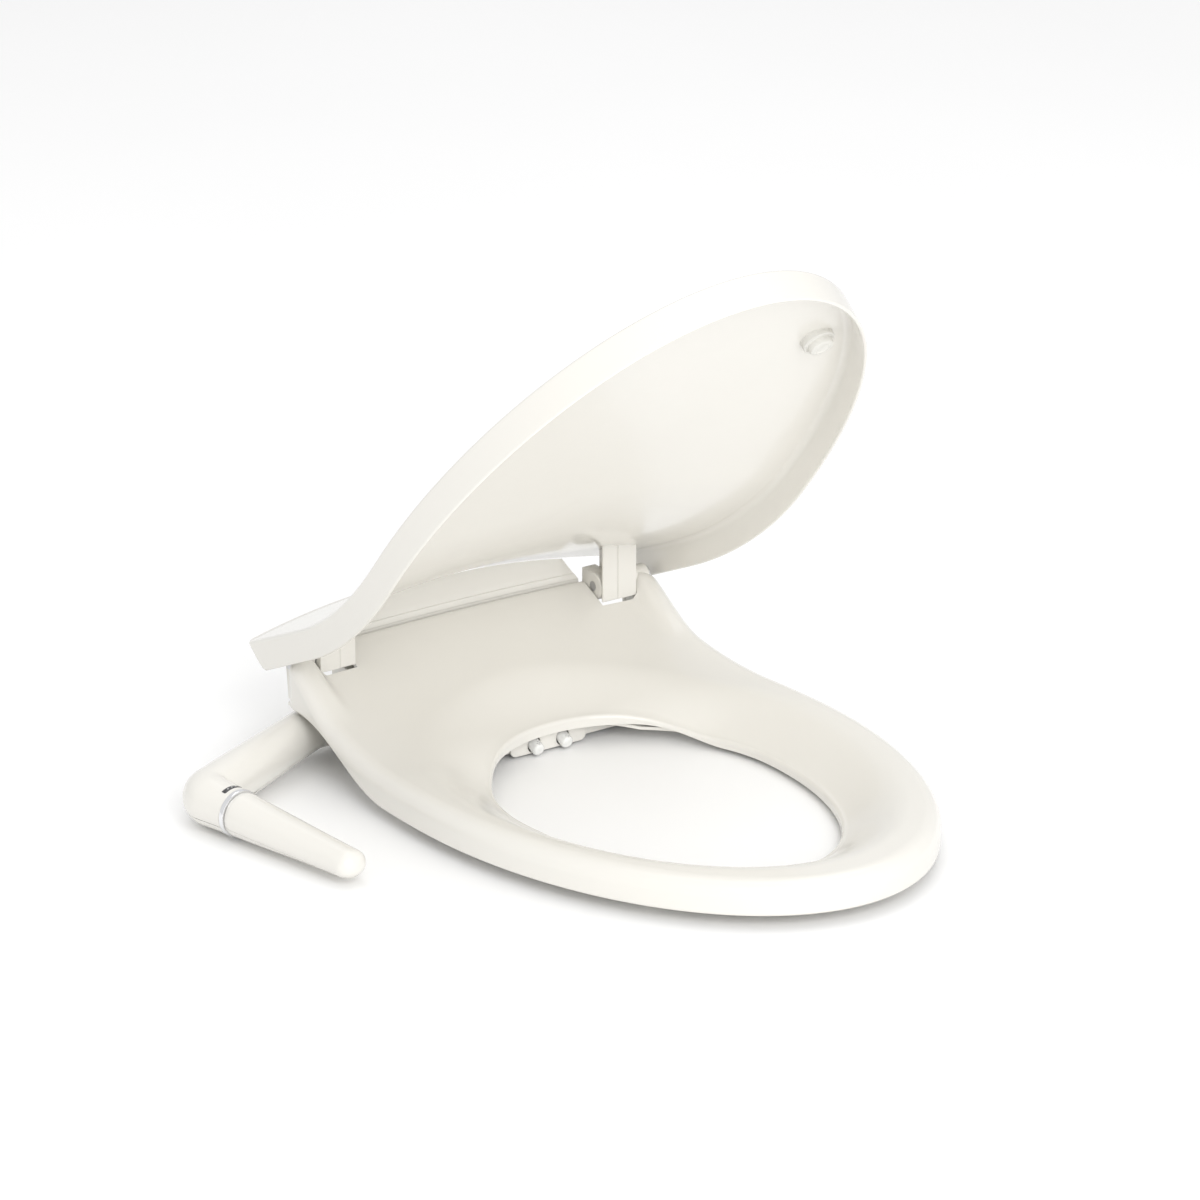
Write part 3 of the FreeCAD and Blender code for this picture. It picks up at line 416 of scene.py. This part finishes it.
def lidTop(x, y):
    middle = plan["widest"]
    if y < middle:
        edge = (x / plan["half"]) ** 2 + ((y - middle) / plan["reach"]) ** 2
    else:
        edge = (x / planHalf(y)) ** 2
    crown = lid["crownFront"] + (lid["crownRear"] - lid["crownFront"]) * ease(y, middle, hinge.y)
    return rimHeight(y) + lid["skirt"] + crown * (1 - edge)


def makeLid():
    wall, edgeRound, rimRound = lid["wall"], lid["edgeRound"], lid["rimRound"]

    def edgeLoop(inset):
        return outline(inset, lambda x: plan["rear"] - inset, max(lid["corner"] - inset, 1.5))

    outer = edgeLoop(0)
    back = backShare(outer, lid["corner"], plan["rear"])
    topEdge = [lidTop(point.x, point.y) for point in outer]
    rim = [rimHeight(point.y) * (1 - share) + (top - wall - 0.3) * share
           for point, share, top in zip(outer, back, topEdge)]
    tops = [edgeRound * (1 - share) + lid["rearRound"] * share for share in back]
    centre = Vector((0, plan["widest"], 0))
    rings = []

    def ringAt(points, heights):
        rings.append([turnedOpen(Vector((point.x, point.y, height)))
                      for point, height in zip(points, heights)])

    start = edgeLoop(edgeRound)
    for i in range(27):
        share = math.sin(math.pi / 2 * i / 26)
        points = [centre + (point - centre) * share for point in start]
        ringAt(points, [lidTop(point.x, point.y) for point in points])
    for step in (20, 40, 60, 80, 90):
        angle = math.radians(step)
        points = edgeLoop(edgeRound * (1 - math.sin(angle)))
        ringAt(points, [top - r * (1 - math.cos(angle)) for top, r in zip(topEdge, tops)])
    for share in (0.04, 0.35, 0.7, 0.96):
        ringAt(outer, [(top - r) + (low + rimRound - top + r) * share
                       for top, r, low in zip(topEdge, tops, rim)])
    for step in (0, 25, 50, 75, 90):
        angle = math.radians(step)
        points = edgeLoop(rimRound * (1 - math.cos(angle)))
        ringAt(points, [low + rimRound * (1 - math.sin(angle)) for low in rim])
    for step in (90, 65, 40, 15):
        angle = math.radians(step)
        points = edgeLoop(wall - rimRound * (1 - math.cos(angle)))
        ringAt(points, [low + rimRound * (1 - math.sin(angle)) for low in rim])
    inner = edgeLoop(wall)
    ceiling = [lidTop(point.x, point.y) - wall for point in inner]
    rounds = [min(lid["innerRound"], max(top - low - 2 * rimRound, 0.05)) for top, low in zip(ceiling, rim)]
    for share in (0.04, 0.5, 0.96):
        ringAt(inner, [low + rimRound + (top - r - low - rimRound) * share
                       for top, r, low in zip(ceiling, rounds, rim)])
    for step in (15, 35, 55, 75, 90):
        angle = math.radians(step)
        points = edgeLoop(wall + lid["innerRound"] * (1 - math.cos(angle)))
        ringAt(points, [lidTop(point.x, point.y) - wall - r * (1 - math.sin(angle))
                        for point, r in zip(points, rounds)])
    end = edgeLoop(wall + lid["innerRound"])
    for i in range(1, 27):
        share = math.cos(math.pi / 2 * i / 26)
        points = [centre + (point - centre) * share for point in end]
        ringAt(points, [lidTop(point.x, point.y) - wall for point in points])
    return wrap("lidShell", rings, angle=50)


lidShell = makeLid()
finished(lidShell, "lid", "shell", shellFinish, "lid_shell")
print("lid made")


# ---- hinge lugs: a round eye with a web, pushed along the hinge line

lugs = {"radius": 11, "bevel": 0.7, "base": (113, 126), "postBack": 34.5, "lid": (127, 144), "front": 13.6,
        "apron": 2.2, "apronFoot": -9.5, "apronStart": 112.8, "seat": (145, 161), "earRadius": 8.5,
        "earBack": 24.5, "earFoot": 45}


def eye(name, side, span, web, radius):
    # web is the list of (y, z) corners that the round eye runs into
    steps = 20
    start, end = web[0], web[-1]
    first = math.atan2(end[1] - hinge.z, end[0] - hinge.y)
    last = math.atan2(start[1] - hinge.z, start[0] - hinge.y)
    while last <= first:
        last += 2 * math.pi
    arc = [(hinge.y + radius * math.cos(first + (last - first) * i / steps),
            hinge.z + radius * math.sin(first + (last - first) * i / steps)) for i in range(steps + 1)]
    profile = arc + web[1:-1]
    count = len(profile)
    middle = Vector((0, sum(y for y, z in profile) / count, sum(z for y, z in profile) / count))
    bevel = lugs["bevel"]
    rings = []
    for x, shrink in ((span[0], None), (span[0], bevel), (span[0] + bevel, 0), (span[1] - bevel, 0),
                      (span[1], bevel), (span[1], None)):
        ring = []
        for y, z in profile:
            point = Vector((0, y, z))
            toMiddle = middle - point
            point += toMiddle if shrink is None else toMiddle.normalized() * shrink
            point.x = side * x
            ring.append(point)
        rings.append(ring)
    return wrap(name, rings, angle=35)


def knuckleSpot(forward, upward):
    # a place measured from the hinge line on the open lid, given back as (y, z) on the shut one
    angle = math.radians(openAngle)
    return (hinge.y - forward * math.cos(angle) - upward * math.sin(angle),
            hinge.z - forward * math.sin(angle) + upward * math.cos(angle))


def knuckleTop(x, forward):
    # how far up a boss goes before it is inside the wall of the lid
    upward = 10.0
    while True:
        y, z = knuckleSpot(forward, upward)
        if z >= lidTop(x, y) - lid["wall"] / 2:
            return upward
        upward += 0.1


def bossRings(side, span, corners, steps=6):
    # corners(x) gives the outline of the boss at x, lid shut
    rings = []
    for i in range(steps + 1):
        x = span[0] + (span[1] - span[0]) * i / steps
        rings.append([turnedOpen(Vector((side * x, y, z))) for y, z in corners(x)])
    first, last = (sum(ring, Vector()) / len(ring) for ring in (rings[0], rings[-1]))
    return [[first] * len(rings[0])] + rings + [[last] * len(rings[0])]


def apronCorners(x):
    front, back, foot = lugs["front"], lugs["front"] - lugs["apron"], lugs["apronFoot"]
    return [knuckleSpot(front, foot), knuckleSpot(front, knuckleTop(x, front)),
            knuckleSpot(back, knuckleTop(x, back)), knuckleSpot(back, foot)]


def knuckleCorners(x):
    front, radius, foot = lugs["front"], lugs["radius"], lugs["apronFoot"]
    arc = [math.radians(-135 * i / 18) for i in range(19)]
    return ([knuckleSpot(front, foot), knuckleSpot(front, knuckleTop(x, front)),
             knuckleSpot(-radius, knuckleTop(x, -radius))]
            + [knuckleSpot(-radius * math.cos(a), radius * math.sin(a)) for a in arc])


def makeLugs():
    radius, postBack = lugs["radius"], lugs["postBack"]
    back = [(hinge.y, hinge.z + radius), (postBack, hinge.z + radius), (postBack, hinge.z - radius),
            (hinge.y, hinge.z - radius)]
    ear, earBack, earFoot = lugs["earRadius"], lugs["earBack"], lugs["earFoot"]
    down = [(earBack, hinge.z), (earBack, earFoot), (hinge.y - ear, earFoot), (hinge.y - ear, hinge.z)]
    bosses = []
    for side in (-1, 1):
        for name, span, corners in (("apron", (lugs["apronStart"], lugs["lid"][0]), apronCorners),
                                    ("knuckle", lugs["lid"], knuckleCorners)):
            boss = wrap(name, bossRings(side, span, corners), angle=35)
            applied(boss, "BEVEL", width=lugs["bevel"] * mm, segments=2, limit_method="ANGLE",
                    angle_limit=math.radians(50))
            bosses.append(boss)
    finished(joined("lidKnuckles", bosses), "lid", "shell", shellFinish)
    ears = [eye("ear", side, lugs["seat"], down[::-1], ear) for side in (-1, 1)]
    finished(joined("seatLugs", ears), "seat", "shell", shellFinish)
    posts = [eye("post", side, lugs["base"], back[::-1], radius) for side in (-1, 1)]
    finished(joined("housingLugs", posts), "base", "shell", shellFinish)


makeLugs()
print("hinge lugs made")


# ---- seat

seat = {"inset": 5.2, "wall": 3.0, "bottom": 9.3, "ridge": 34, "riseStart": -125, "riseRadius": 300,
        "rear": 32, "earRear": 25, "earUnder": 41.5, "corner": 16, "edgeRound": 12, "rearRound": 1.2,
        "holeHalf": 110, "holeDepth": -205, "holeRear": 120, "holeFront": 180, "lipRound": 3,
        "lipSide": 9, "lipRear": 23, "lipBottom": 3.5, "lipRearBottom": 15, "lipSlope": (-160, -100),
        "scoop": 55, "crown": 3, "crownHalf": 150, "crownStart": -60, "cavity": 112, "underRise": (-125, 5),
        "footRound": 1.5, "rearDepth": 4.5}
swell = {"height": 14.5, "side": (139, 152), "depth": (-45, 18)}
notch = {"low": (112, 5.5, 50), "high": (144.5, 60, 140)}


def seatTop(x, y):
    ridge = sweptHeight(y, seat["ridge"], seat["riseStart"], seat["riseRadius"])
    crown = seat["crown"] * (1 - (x / seat["crownHalf"]) ** 2) * ease(y, seat["crownStart"], hinge.y)
    depth = y - seat["holeDepth"]
    reach = seat["holeRear"] if depth > 0 else seat["holeFront"]
    share = math.hypot(x / seat["holeHalf"], depth / reach)
    distance = math.hypot(x, depth) * (1 - 1 / share)
    step = min(max(distance / seat["scoop"], -1), 1)
    # quick at the lip, level at the ridge
    rising = 0.6 * math.sin(math.pi * step / 2) + 0.2 * (1 - math.cos(math.pi * step)) * (step > 0)
    rear = seat["holeDepth"] + seat["holeRear"]
    lip = seat["lipSide"] + (seat["lipRear"] - seat["lipSide"]) * ease(y, rear - 65, rear)
    # the surface swells over the hinge ears
    ear = swell["height"] * ease(abs(x), *swell["side"]) * ease(y, *swell["depth"])
    return lip + (ridge + crown - lip) * rising + ear


def seatUnder(y):
    return seat["bottom"] + (seat["earUnder"] - seat["bottom"]) * ease(y, *seat["underRise"])


def makeSeat():
    def rearAt(x):
        step = seat["rear"] - seat["earRear"]
        return seat["rear"] - step * ease(abs(x), seat["cavity"], seat["cavity"] + 6)

    def edgeLoop(inset):
        corner = max(seat["corner"] - inset, 2)
        return outline(seat["inset"] + inset, lambda x: rearAt(x) - inset, corner, backSteps=30)

    outer = edgeLoop(0)
    back = [ease(point.y, seat["earRear"] - 4, seat["earRear"]) * ease(-abs(point.x), -150, -125)
            for point in outer]
    rounds = [seat["edgeRound"] * (1 - share) + seat["rearRound"] * share for share in back]
    insetSteps = 40
    insets = [edgeLoop(seat["edgeRound"] * i / insetSteps) for i in range(insetSteps + 1)]

    def inward(i, distance):
        place = min(max(distance / seat["edgeRound"] * insetSteps, 0), insetSteps - 0.001)
        low = int(place)
        return insets[low][i].lerp(insets[low + 1][i], place - low)

    centre = Vector((0, seat["holeDepth"], 0))

    def holePoint(point, growth):
        way = (point - centre).normalized()
        reach = (seat["holeRear"] if way.y > 0 else seat["holeFront"]) + growth
        half = seat["holeHalf"] + growth
        return centre + way / math.hypot(way.x / half, way.y / reach)

    count = len(outer)
    rings = []
    lipRound = seat["lipRound"]
    lipStart = [holePoint(point, lipRound) for point in outer]
    lipTop = [seatTop(point.x, point.y) for point in lipStart]
    lipRise = seat["lipRearBottom"] - seat["lipBottom"]
    lipLow = [seat["lipBottom"] + lipRise * ease(point.y, *seat["lipSlope"]) for point in lipStart]
    for share in (0, 0.5, 0.95):
        rings.append([Vector((*holePoint(outer[i], 0).xy,
                              lipLow[i] + (lipTop[i] - lipRound - lipLow[i]) * share)) for i in range(count)])
    for step in (0, 20, 40, 60, 80):
        angle = math.radians(step)
        rings.append([Vector((*holePoint(outer[i], lipRound * (1 - math.cos(angle))).xy,
                              lipTop[i] - lipRound * (1 - math.sin(angle)))) for i in range(count)])
    for k in range(37):
        share = (k / 36) ** 0.9
        ring = []
        for i in range(count):
            point = lipStart[i].lerp(inward(i, rounds[i]), share)
            ring.append(Vector((point.x, point.y, seatTop(point.x, point.y))))
        rings.append(ring)
    edgeTop = [point.z for point in rings[-1]]
    low = []
    for i, point in enumerate(outer):
        low.append(seatUnder(point.y) * (1 - back[i]) + (edgeTop[i] - seat["rearDepth"]) * back[i])
    footRound = seat["footRound"]
    for step in (12, 24, 36, 48, 60, 72, 84, 90):
        angle = math.radians(step)
        ring = []
        for i in range(count):
            point = inward(i, rounds[i] * (1 - math.sin(angle)))
            ring.append(Vector((point.x, point.y, edgeTop[i] - rounds[i] * (1 - math.cos(angle)))))
        rings.append(ring)
    for share in (0.1, 0.5, 0.9):
        rings.append([Vector((outer[i].x, outer[i].y,
                              edgeTop[i] - rounds[i] + (low[i] + footRound - edgeTop[i] + rounds[i]) * share))
                      for i in range(count)])
    for step in (0, 30, 60, 90):
        angle = math.radians(step)
        ring = []
        for i in range(count):
            point = inward(i, footRound * (1 - math.cos(angle)))
            ring.append(Vector((point.x, point.y, low[i] + footRound * (1 - math.sin(angle)))))
        rings.append(ring)
    piece = wrap("seatShell", rings, angle=50)
    applied(piece, "SOLIDIFY", thickness=seat["wall"] * mm, offset=-1, use_even_offset=False, use_rim=True)
    return piece


def cutSlots(piece):
    # room for the lid knuckles and the housing lugs
    for side in (-1, 1):
        bpy.ops.object.select_all(action="DESELECT")
        bpy.ops.mesh.primitive_cube_add(size=1)
        cutter = bpy.context.object
        low, high = Vector(notch["low"]), Vector(notch["high"])
        for vertex in cutter.data.vertices:
            share = vertex.co + Vector((0.5, 0.5, 0.5))
            spot = Vector([low[k] + (high[k] - low[k]) * share[k] for k in range(3)])
            spot.x *= side
            vertex.co = metres(spot)
        tidyMesh(cutter)
        applied(piece, "BOOLEAN", operation="DIFFERENCE", object=cutter, solver="FAST")
        bpy.data.objects.remove(cutter)
    alone(piece)
    bpy.ops.object.shade_smooth_by_angle(angle=math.radians(40))


seatShell = makeSeat()
cutSlots(seatShell)
finished(seatShell, "seat", "shell", shellFinish, "seat_shell")
print("seat made")


# ---- hinge housing

housing = {"middle": 34.0, "end": 26.4, "topRound": 1.2, "reach": 112, "face": 33.7, "bandHeight": 78.5,
           "low": 60, "band": 4.5, "bandOut": 0.7, "slantStart": 75, "slant": 0.75, "heart": (42, 78)}


def makeHousing():
    reach = housing["reach"]
    sag = housing["middle"] - housing["end"]
    bow = (reach ** 2 + sag ** 2) / (2 * sag)

    def barrelRadius(x):
        return housing["middle"] - (bow - math.sqrt(bow ** 2 - x ** 2))

    face, topRound = housing["face"], housing["topRound"]
    bandFace = face - housing["bandOut"]
    columns = 56
    rings = []
    spans = [math.sin(math.pi / 2 * (-1 + 2 * i / columns)) for i in range(columns + 1)]
    for index, u in enumerate([-1] + spans + [1]):
        x = u * reach
        radius = barrelRadius(x)
        # the band runs along the rear edge of the seat
        bandLow = housing["bandHeight"] + seat["crown"] * (1 - (x / seat["crownHalf"]) ** 2)
        bandHigh = bandLow + housing["band"]
        crest = hinge.z + math.sqrt(radius ** 2 - (face + topRound - hinge.y) ** 2)
        section = [(face, housing["low"]), (face, bandLow - 1), (bandFace + 0.2, bandLow - 0.3),
                   (bandFace, bandLow + 0.5), (bandFace, bandHigh - 0.5), (bandFace + 0.2, bandHigh - 0.1),
                   (face + 0.4, bandHigh + 0.3)]
        footY, footZ = face + 0.7, bandHigh + 1.2
        for i in range(6):
            share = i / 5
            section.append((footY + (face + topRound - footY) * share ** 2, footZ + (crest - footZ) * share))
        startAngle = math.acos((face + topRound - hinge.y) / radius)
        for i in range(1, 11):
            angle = startAngle * (1 - i / 10)
            section.append((hinge.y + radius * math.cos(angle), hinge.z + radius * math.sin(angle)))
        section.append((hinge.y + radius, housing["low"]))
        ring = []
        for y, z in section:
            # the ends slant inwards as they rise
            edge = reach - max(z - housing["slantStart"], 0) * housing["slant"]
            if index in (0, columns + 2):
                y, z = housing["heart"]
                edge = reach - 1
            ring.append(Vector((u * edge, y, z)))
        rings.append(ring)
    return wrap("housingCover", rings, angle=32)


housingCover = makeHousing()
finished(housingCover, "base", "shell", shellFinish, "base_cover")
print("housing made")


# ---- arm

arm = {"root": (-111, 18.3, 21), "knee": (-146, 18.3, 21), "elbow": (-284, -53, 21), "rootRadius": 16.8,
       "elbowRadius": 19, "neckRadius": 17.4, "neck": 35, "bend": 13, "kneeBend": 26, "seamDrop": 9}
grip = {"turn": 9, "dip": 2.5, "start": 39.4, "length": 124, "root": 16.8, "wide": 13, "thick": 11,
        "dome": 10, "seamDrop": 6.5}

elbow = Vector(arm["elbow"])
turn, dip = math.radians(grip["turn"]), math.radians(grip["dip"])
gripWay = Vector((math.sin(turn) * math.cos(dip), -math.cos(turn) * math.cos(dip), -math.sin(dip)))
gripLevel = Vector((0, 0, 1)).cross(gripWay).normalized()
gripUp = gripWay.cross(gripLevel)


def gripPoint(across, up, along):
    return elbow + gripLevel * across + gripUp * up + gripWay * along


def rounded(points, bends, spacing):
    # straight runs and arcs through the points, with the direction at each place
    path = []
    start = points[0]
    for i in range(1, len(points) - 1):
        before = (points[i] - points[i - 1]).normalized()
        after = (points[i + 1] - points[i]).normalized()
        angle = before.angle(after)
        trim = bends[i - 1] * math.tan(angle / 2)
        first, last = points[i] - before * trim, points[i] + after * trim
        steps = max(int((first - start).length / spacing), 1)
        path += [(start.lerp(first, k / steps), before) for k in range(steps)]
        axis = before.cross(after).normalized()
        middle = first + axis.cross(before) * bends[i - 1]
        for k in range(14):
            turned = Matrix.Rotation(angle * k / 14, 3, axis)
            path.append((middle + turned @ (first - middle), turned @ before))
        start = last
    way = (points[-1] - start).normalized()
    steps = max(int((points[-1] - start).length / spacing), 1)
    path += [(start.lerp(points[-1], k / steps), way) for k in range(steps + 1)]
    return path


def makeArm():
    root, knee = Vector(arm["root"]), Vector(arm["knee"])
    neckEnd = elbow + gripWay * (arm["neck"] - 0.15)
    path = rounded([root, knee, elbow, neckEnd], [arm["kneeBend"], arm["bend"]], 5)
    travelled, lengths = 0, [0]
    for i in range(1, len(path)):
        travelled += (path[i][0] - path[i - 1][0]).length
        lengths.append(travelled)
    nearElbow = min(range(len(path)), key=lambda i: (path[i][0] - elbow).length)
    toElbow = lengths[nearElbow]
    around = 72
    rings = []
    for (spot, way), gone in zip(path, lengths):
        if gone < toElbow:
            radius = arm["rootRadius"] + (arm["elbowRadius"] - arm["rootRadius"]) * ease(gone, 30, toElbow)
        else:
            slimming = arm["elbowRadius"] - arm["neckRadius"]
            radius = arm["elbowRadius"] - slimming * ease(gone, toElbow, travelled)
        level = Vector((0, 0, 1)).cross(way).normalized()
        up = way.cross(level)
        rings.append([spot + level * radius * math.cos(a) + up * radius * math.sin(a)
                      for a in [2 * math.pi * k / around for k in range(around)]])
    first, last = path[0][0], path[-1][0]
    lastRing = [last + (point - last) * 0.97 for point in rings[-1]]
    rings[-1] = [point - gripWay * 0.5 for point in rings[-1]]
    rings = [[first] * around] + rings + [lastRing, [last] * around]
    return wrap("armShell", rings, angle=45)


def halves(piece, names, origin, normal, gap):
    # cuts a closed piece into an upper and a lower shell with a fine joint between them
    pair = []
    for name, keepAbove in zip(names, (True, False)):
        part = copyOf(piece, name)
        alone(part)
        bpy.ops.object.mode_set(mode="EDIT")
        bpy.ops.mesh.select_all(action="SELECT")
        shift = normal * (gap / 2 if keepAbove else -gap / 2)
        bpy.ops.mesh.bisect(plane_co=metres(origin + shift), plane_no=normal, use_fill=True,
                            clear_inner=keepAbove, clear_outer=not keepAbove)
        bpy.ops.object.mode_set(mode="OBJECT")
        applied(part, "BEVEL", width=0.35 * mm, segments=2, limit_method="ANGLE",
                angle_limit=math.radians(50))
        bpy.ops.object.shade_smooth_by_angle(angle=math.radians(45))
        pair.append(part)
    bpy.data.objects.remove(piece)
    return pair


armSeam = Vector((0, 0, arm["root"][2] - arm["seamDrop"]))
armUpper, armLower = halves(makeArm(), ("armUpper", "armLower"), armSeam, Vector((0, 0, 1)), 0.35)
finished(armUpper, "base", "shell", shellFinish, "arm_upper")
finished(armLower, "base", "shell", shellFinish, "arm_lower")
print("arm made")


# ---- twist handle

def makeGrip():
    length, dome = grip["length"], grip["dome"]
    around = 80
    stations = [(0, 0), (0, 0.93), (0.25, 0.975), (0.8, 1)]
    rings = []

    def ringAt(along, across, deep):
        ring = []
        for k in range(around):
            angle = 2 * math.pi * k / around
            # a little flatter underneath
            flat = 1 - 0.1 * ease(along, 20, 90) * (math.sin(angle) < 0) * abs(math.sin(angle))
            up = deep * math.sin(angle) * flat
            ring.append(gripPoint(across * math.cos(angle), up, grip["start"] + along))
        return ring

    def widths(share):
        across = grip["root"] + (grip["wide"] - grip["root"]) * (0.35 * share + 0.65 * ease(share, 0, 1))
        deep = grip["root"] + (grip["thick"] - grip["root"]) * share ** 0.85
        return across, deep

    for along, scale in stations:
        across, deep = widths(0)
        rings.append(ringAt(along, across * scale, deep * scale))
    reach = length - dome
    for k in range(1, 33):
        share = k / 32
        across, deep = widths(share)
        rings.append(ringAt(0.8 + (reach - 0.8) * share, across, deep))
    for step in (12, 24, 36, 48, 60, 70, 80, 86, 90):
        angle = math.radians(step)
        across, deep = widths(1)
        rings.append(ringAt(reach + dome * math.sin(angle), across * math.cos(angle),
                            deep * math.cos(angle)))
    return wrap("gripShell", rings, angle=45)


gripSeam = gripPoint(0, -grip["seamDrop"], 0)
gripUpper, gripLower = halves(makeGrip(), ("gripUpper", "gripLower"), gripSeam, gripUp, 0.3)
finished(gripUpper, "handle", "shell", shellFinish, "handle_upper")
finished(gripLower, "handle", "shell", shellFinish, "handle_lower")
print("handle made")


# ---- turned pieces

def lathe(name, profile, place, around=64):
    # profile is a list of (radius, along); place turns (across, up, along) into a point
    rings = [[place(radius * math.cos(a), radius * math.sin(a), along)
              for a in [2 * math.pi * k / around for k in range(around)]] for radius, along in profile]
    return wrap(name, rings, angle=35)


accent = {"outer": 17.9, "inner": 13, "width": 4}


def makeRing():
    outer, inner = accent["outer"], accent["inner"]
    start, end = arm["neck"], arm["neck"] + accent["width"]
    profile = [(inner, start + 0.1), (outer - 0.6, start + 0.1), (outer - 0.15, start + 0.35),
               (outer, start + 0.9), (outer, end - 0.9), (outer - 0.15, end - 0.35),
               (outer - 0.6, end - 0.1), (inner, end - 0.1), (inner, start + 0.1)]
    return lathe("accentRing", profile, gripPoint)


finished(makeRing(), "base", "bright_ring", ringFinish, "arm_ring")

bumper = {"side": 115, "depth": -358, "radius": 9.5, "flange": 12.5, "clearance": 1.0}


def makeLidBumpers():
    pads = []
    ceiling = lidTop(bumper["side"], bumper["depth"]) - lid["wall"] + 1
    foot = seatTop(bumper["side"], bumper["depth"]) + bumper["clearance"]
    radius, flange = bumper["radius"], bumper["flange"]
    profile = [(0, ceiling), (flange, ceiling), (flange, foot + 6), (flange - 0.5, foot + 5.3),
               (radius + 1.4, foot + 5), (radius + 0.6, foot + 5.4), (radius + 0.1, foot + 5),
               (radius, foot + 2), (radius - 0.6, foot + 0.7), (radius - 2, foot + 0.1),
               (radius - 4, foot + 0.1), (radius - 4.6, foot + 0.7), (radius - 5.2, foot + 0.9),
               (0, foot + 0.9)]
    for side in (-1, 1):
        def place(across, up, along):
            return turnedOpen(Vector((side * bumper["side"] + across, bumper["depth"] + up, along)))
        pads.append(lathe("pad", profile, place, 48))
    return joined("lidBumpers", pads)


finished(makeLidBumpers(), "lid", "soft_rubber", rubberFinish, "lid_bumpers")


def softened(node, name, width):
    # a CAD node with its edges broken
    piece = nodes[node].copy()
    piece.data = nodes[node].data.copy()
    piece.parent = None
    piece.matrix_world = Matrix.Identity(4)
    piece.name = name
    piece.data.name = name
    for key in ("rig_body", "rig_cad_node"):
        if key in piece:
            del piece[key]
    bpy.context.scene.collection.objects.link(piece)
    alone(piece)
    bpy.ops.object.mode_set(mode="EDIT")
    bpy.ops.mesh.select_all(action="SELECT")
    bpy.ops.mesh.remove_doubles(threshold=1e-6)
    bpy.ops.mesh.dissolve_limited(angle_limit=math.radians(1))
    bpy.ops.object.mode_set(mode="OBJECT")
    applied(piece, "BEVEL", width=width * mm, segments=2, limit_method="ANGLE", angle_limit=math.radians(40),
            use_clamp_overlap=True)
    bpy.ops.object.shade_smooth_by_angle(angle=math.radians(38))
    return piece


for node, name, body, slot, finish, width in (
        ("base_housing", "baseBox", "base", "shell", shellFinish, 1.0),
        ("nozzle_shield", "nozzleShield", "base", "shell", shellFinish, 0.35),
        ("seat_bumpers", "seatBumpers", "seat", "soft_rubber", rubberFinish, 0.6),
        ("release_button", "releaseButton", "button", "grey_plastic", innerFinish, 0.5),
        ("mounting_plate", "mountingPlate", "base", "grey_plastic", innerFinish, 0.5)):
    finished(softened(node, name, width), body, slot, finish, node)
print("turned and softened pieces made")


# ---- indicator window on the neck, with generic pips

window = {"start": 26.5, "end": 31.6, "half": 30, "lift": 0.35, "pip": 0.55, "pipRadius": 17.6,
          "pipTurn": 12}
windowMiddle = (window["start"] + window["end"]) / 2


def windowFinish(name):
    finish = Finish(name)
    smoke = finish.noise(240, 2)
    spot = finish.add("ShaderNodeTexCoord", {}, {}, "Object")
    mask = None
    for k in (-1, 0, 1):
        angle = math.radians(90 + window["pipTurn"] * k)
        across, up = window["pipRadius"] * math.cos(angle), window["pipRadius"] * math.sin(angle)
        sockets = {0: spot, 1: tuple(gripPoint(across, up, windowMiddle) * mm)}
        away = finish.add("ShaderNodeVectorMath", {"operation": "DISTANCE"}, sockets, "Value")
        pip = away < window["pip"] * mm
        mask = pip if mask is None else mask + pip
    finish.feed(baseColor=finish.tint(mask, (0.02, 0.02, 0.023), (0.75, 0.75, 0.73)),
                roughness=0.08 + smoke * 0.06,
                coat=0.6)
    return finish.material


def makeWindow():
    rings = []
    radius = arm["neckRadius"] + window["lift"]
    for along, drop in ((window["start"], 1.4), (window["start"] + 0.3, 0.25), (window["start"] + 0.9, 0),
                        (window["end"] - 0.9, 0), (window["end"] - 0.3, 0.25), (window["end"], 1.4)):
        taper = (along - windowMiddle) / ((window["end"] - window["start"]) / 2)
        half = window["half"] * math.sqrt(max(1 - 0.35 * taper ** 4, 0.1))
        upper = [(radius - drop - (0.9 if abs(k) == 16 else 0), 90 + half * k / 16) for k in range(-16, 17)]
        lower = [(radius - 2.4, 90 - half * k / 16) for k in range(-16, 17)]
        rings.append([gripPoint(r * math.cos(math.radians(a)), r * math.sin(math.radians(a)), along)
                      for r, a in upper + lower])
    closedStart = [sum(rings[0], Vector()) / len(rings[0])] * len(rings[0])
    closedEnd = [sum(rings[-1], Vector()) / len(rings[-1])] * len(rings[-1])
    return wrap("indicatorWindow", [closedStart] + rings + [closedEnd], angle=40)


finished(makeWindow(), "base", "indicator", windowFinish("smokedWindow"), "indicator_window")


# ---- finishes of the nodes that stay

wandTone = {"light": (0.84, 0.84, 0.82), "shade": (0.79, 0.79, 0.77), "roughness": 0.16, "coat": 0.3}
slotFinish = {"shell": shellFinish, "grey_plastic": innerFinish, "soft_rubber": rubberFinish,
              "steel": steelFinish, "bright_ring": ringFinish, "brass": brassFinish, "hose": tubeFinish,
              "wand": glossShell("wandWhite", wandTone)}
for entry in frame["record"]["subparts"]:
    node = nodes[entry["node"]]
    if entry["material_slot"] in slotFinish:
        node.data.materials.clear()
        node.data.materials.append(slotFinish[entry["material_slot"]])

floorFinish = Finish("paleFloor")
floorFinish.feed(baseColor=floorFinish.tint(floorFinish.noise(2, 2), light["floor"], (0.95, 0.95, 0.95)),
                 roughness=0.6)
floor.data.materials.append(floorFinish.material)
print("finishes placed")
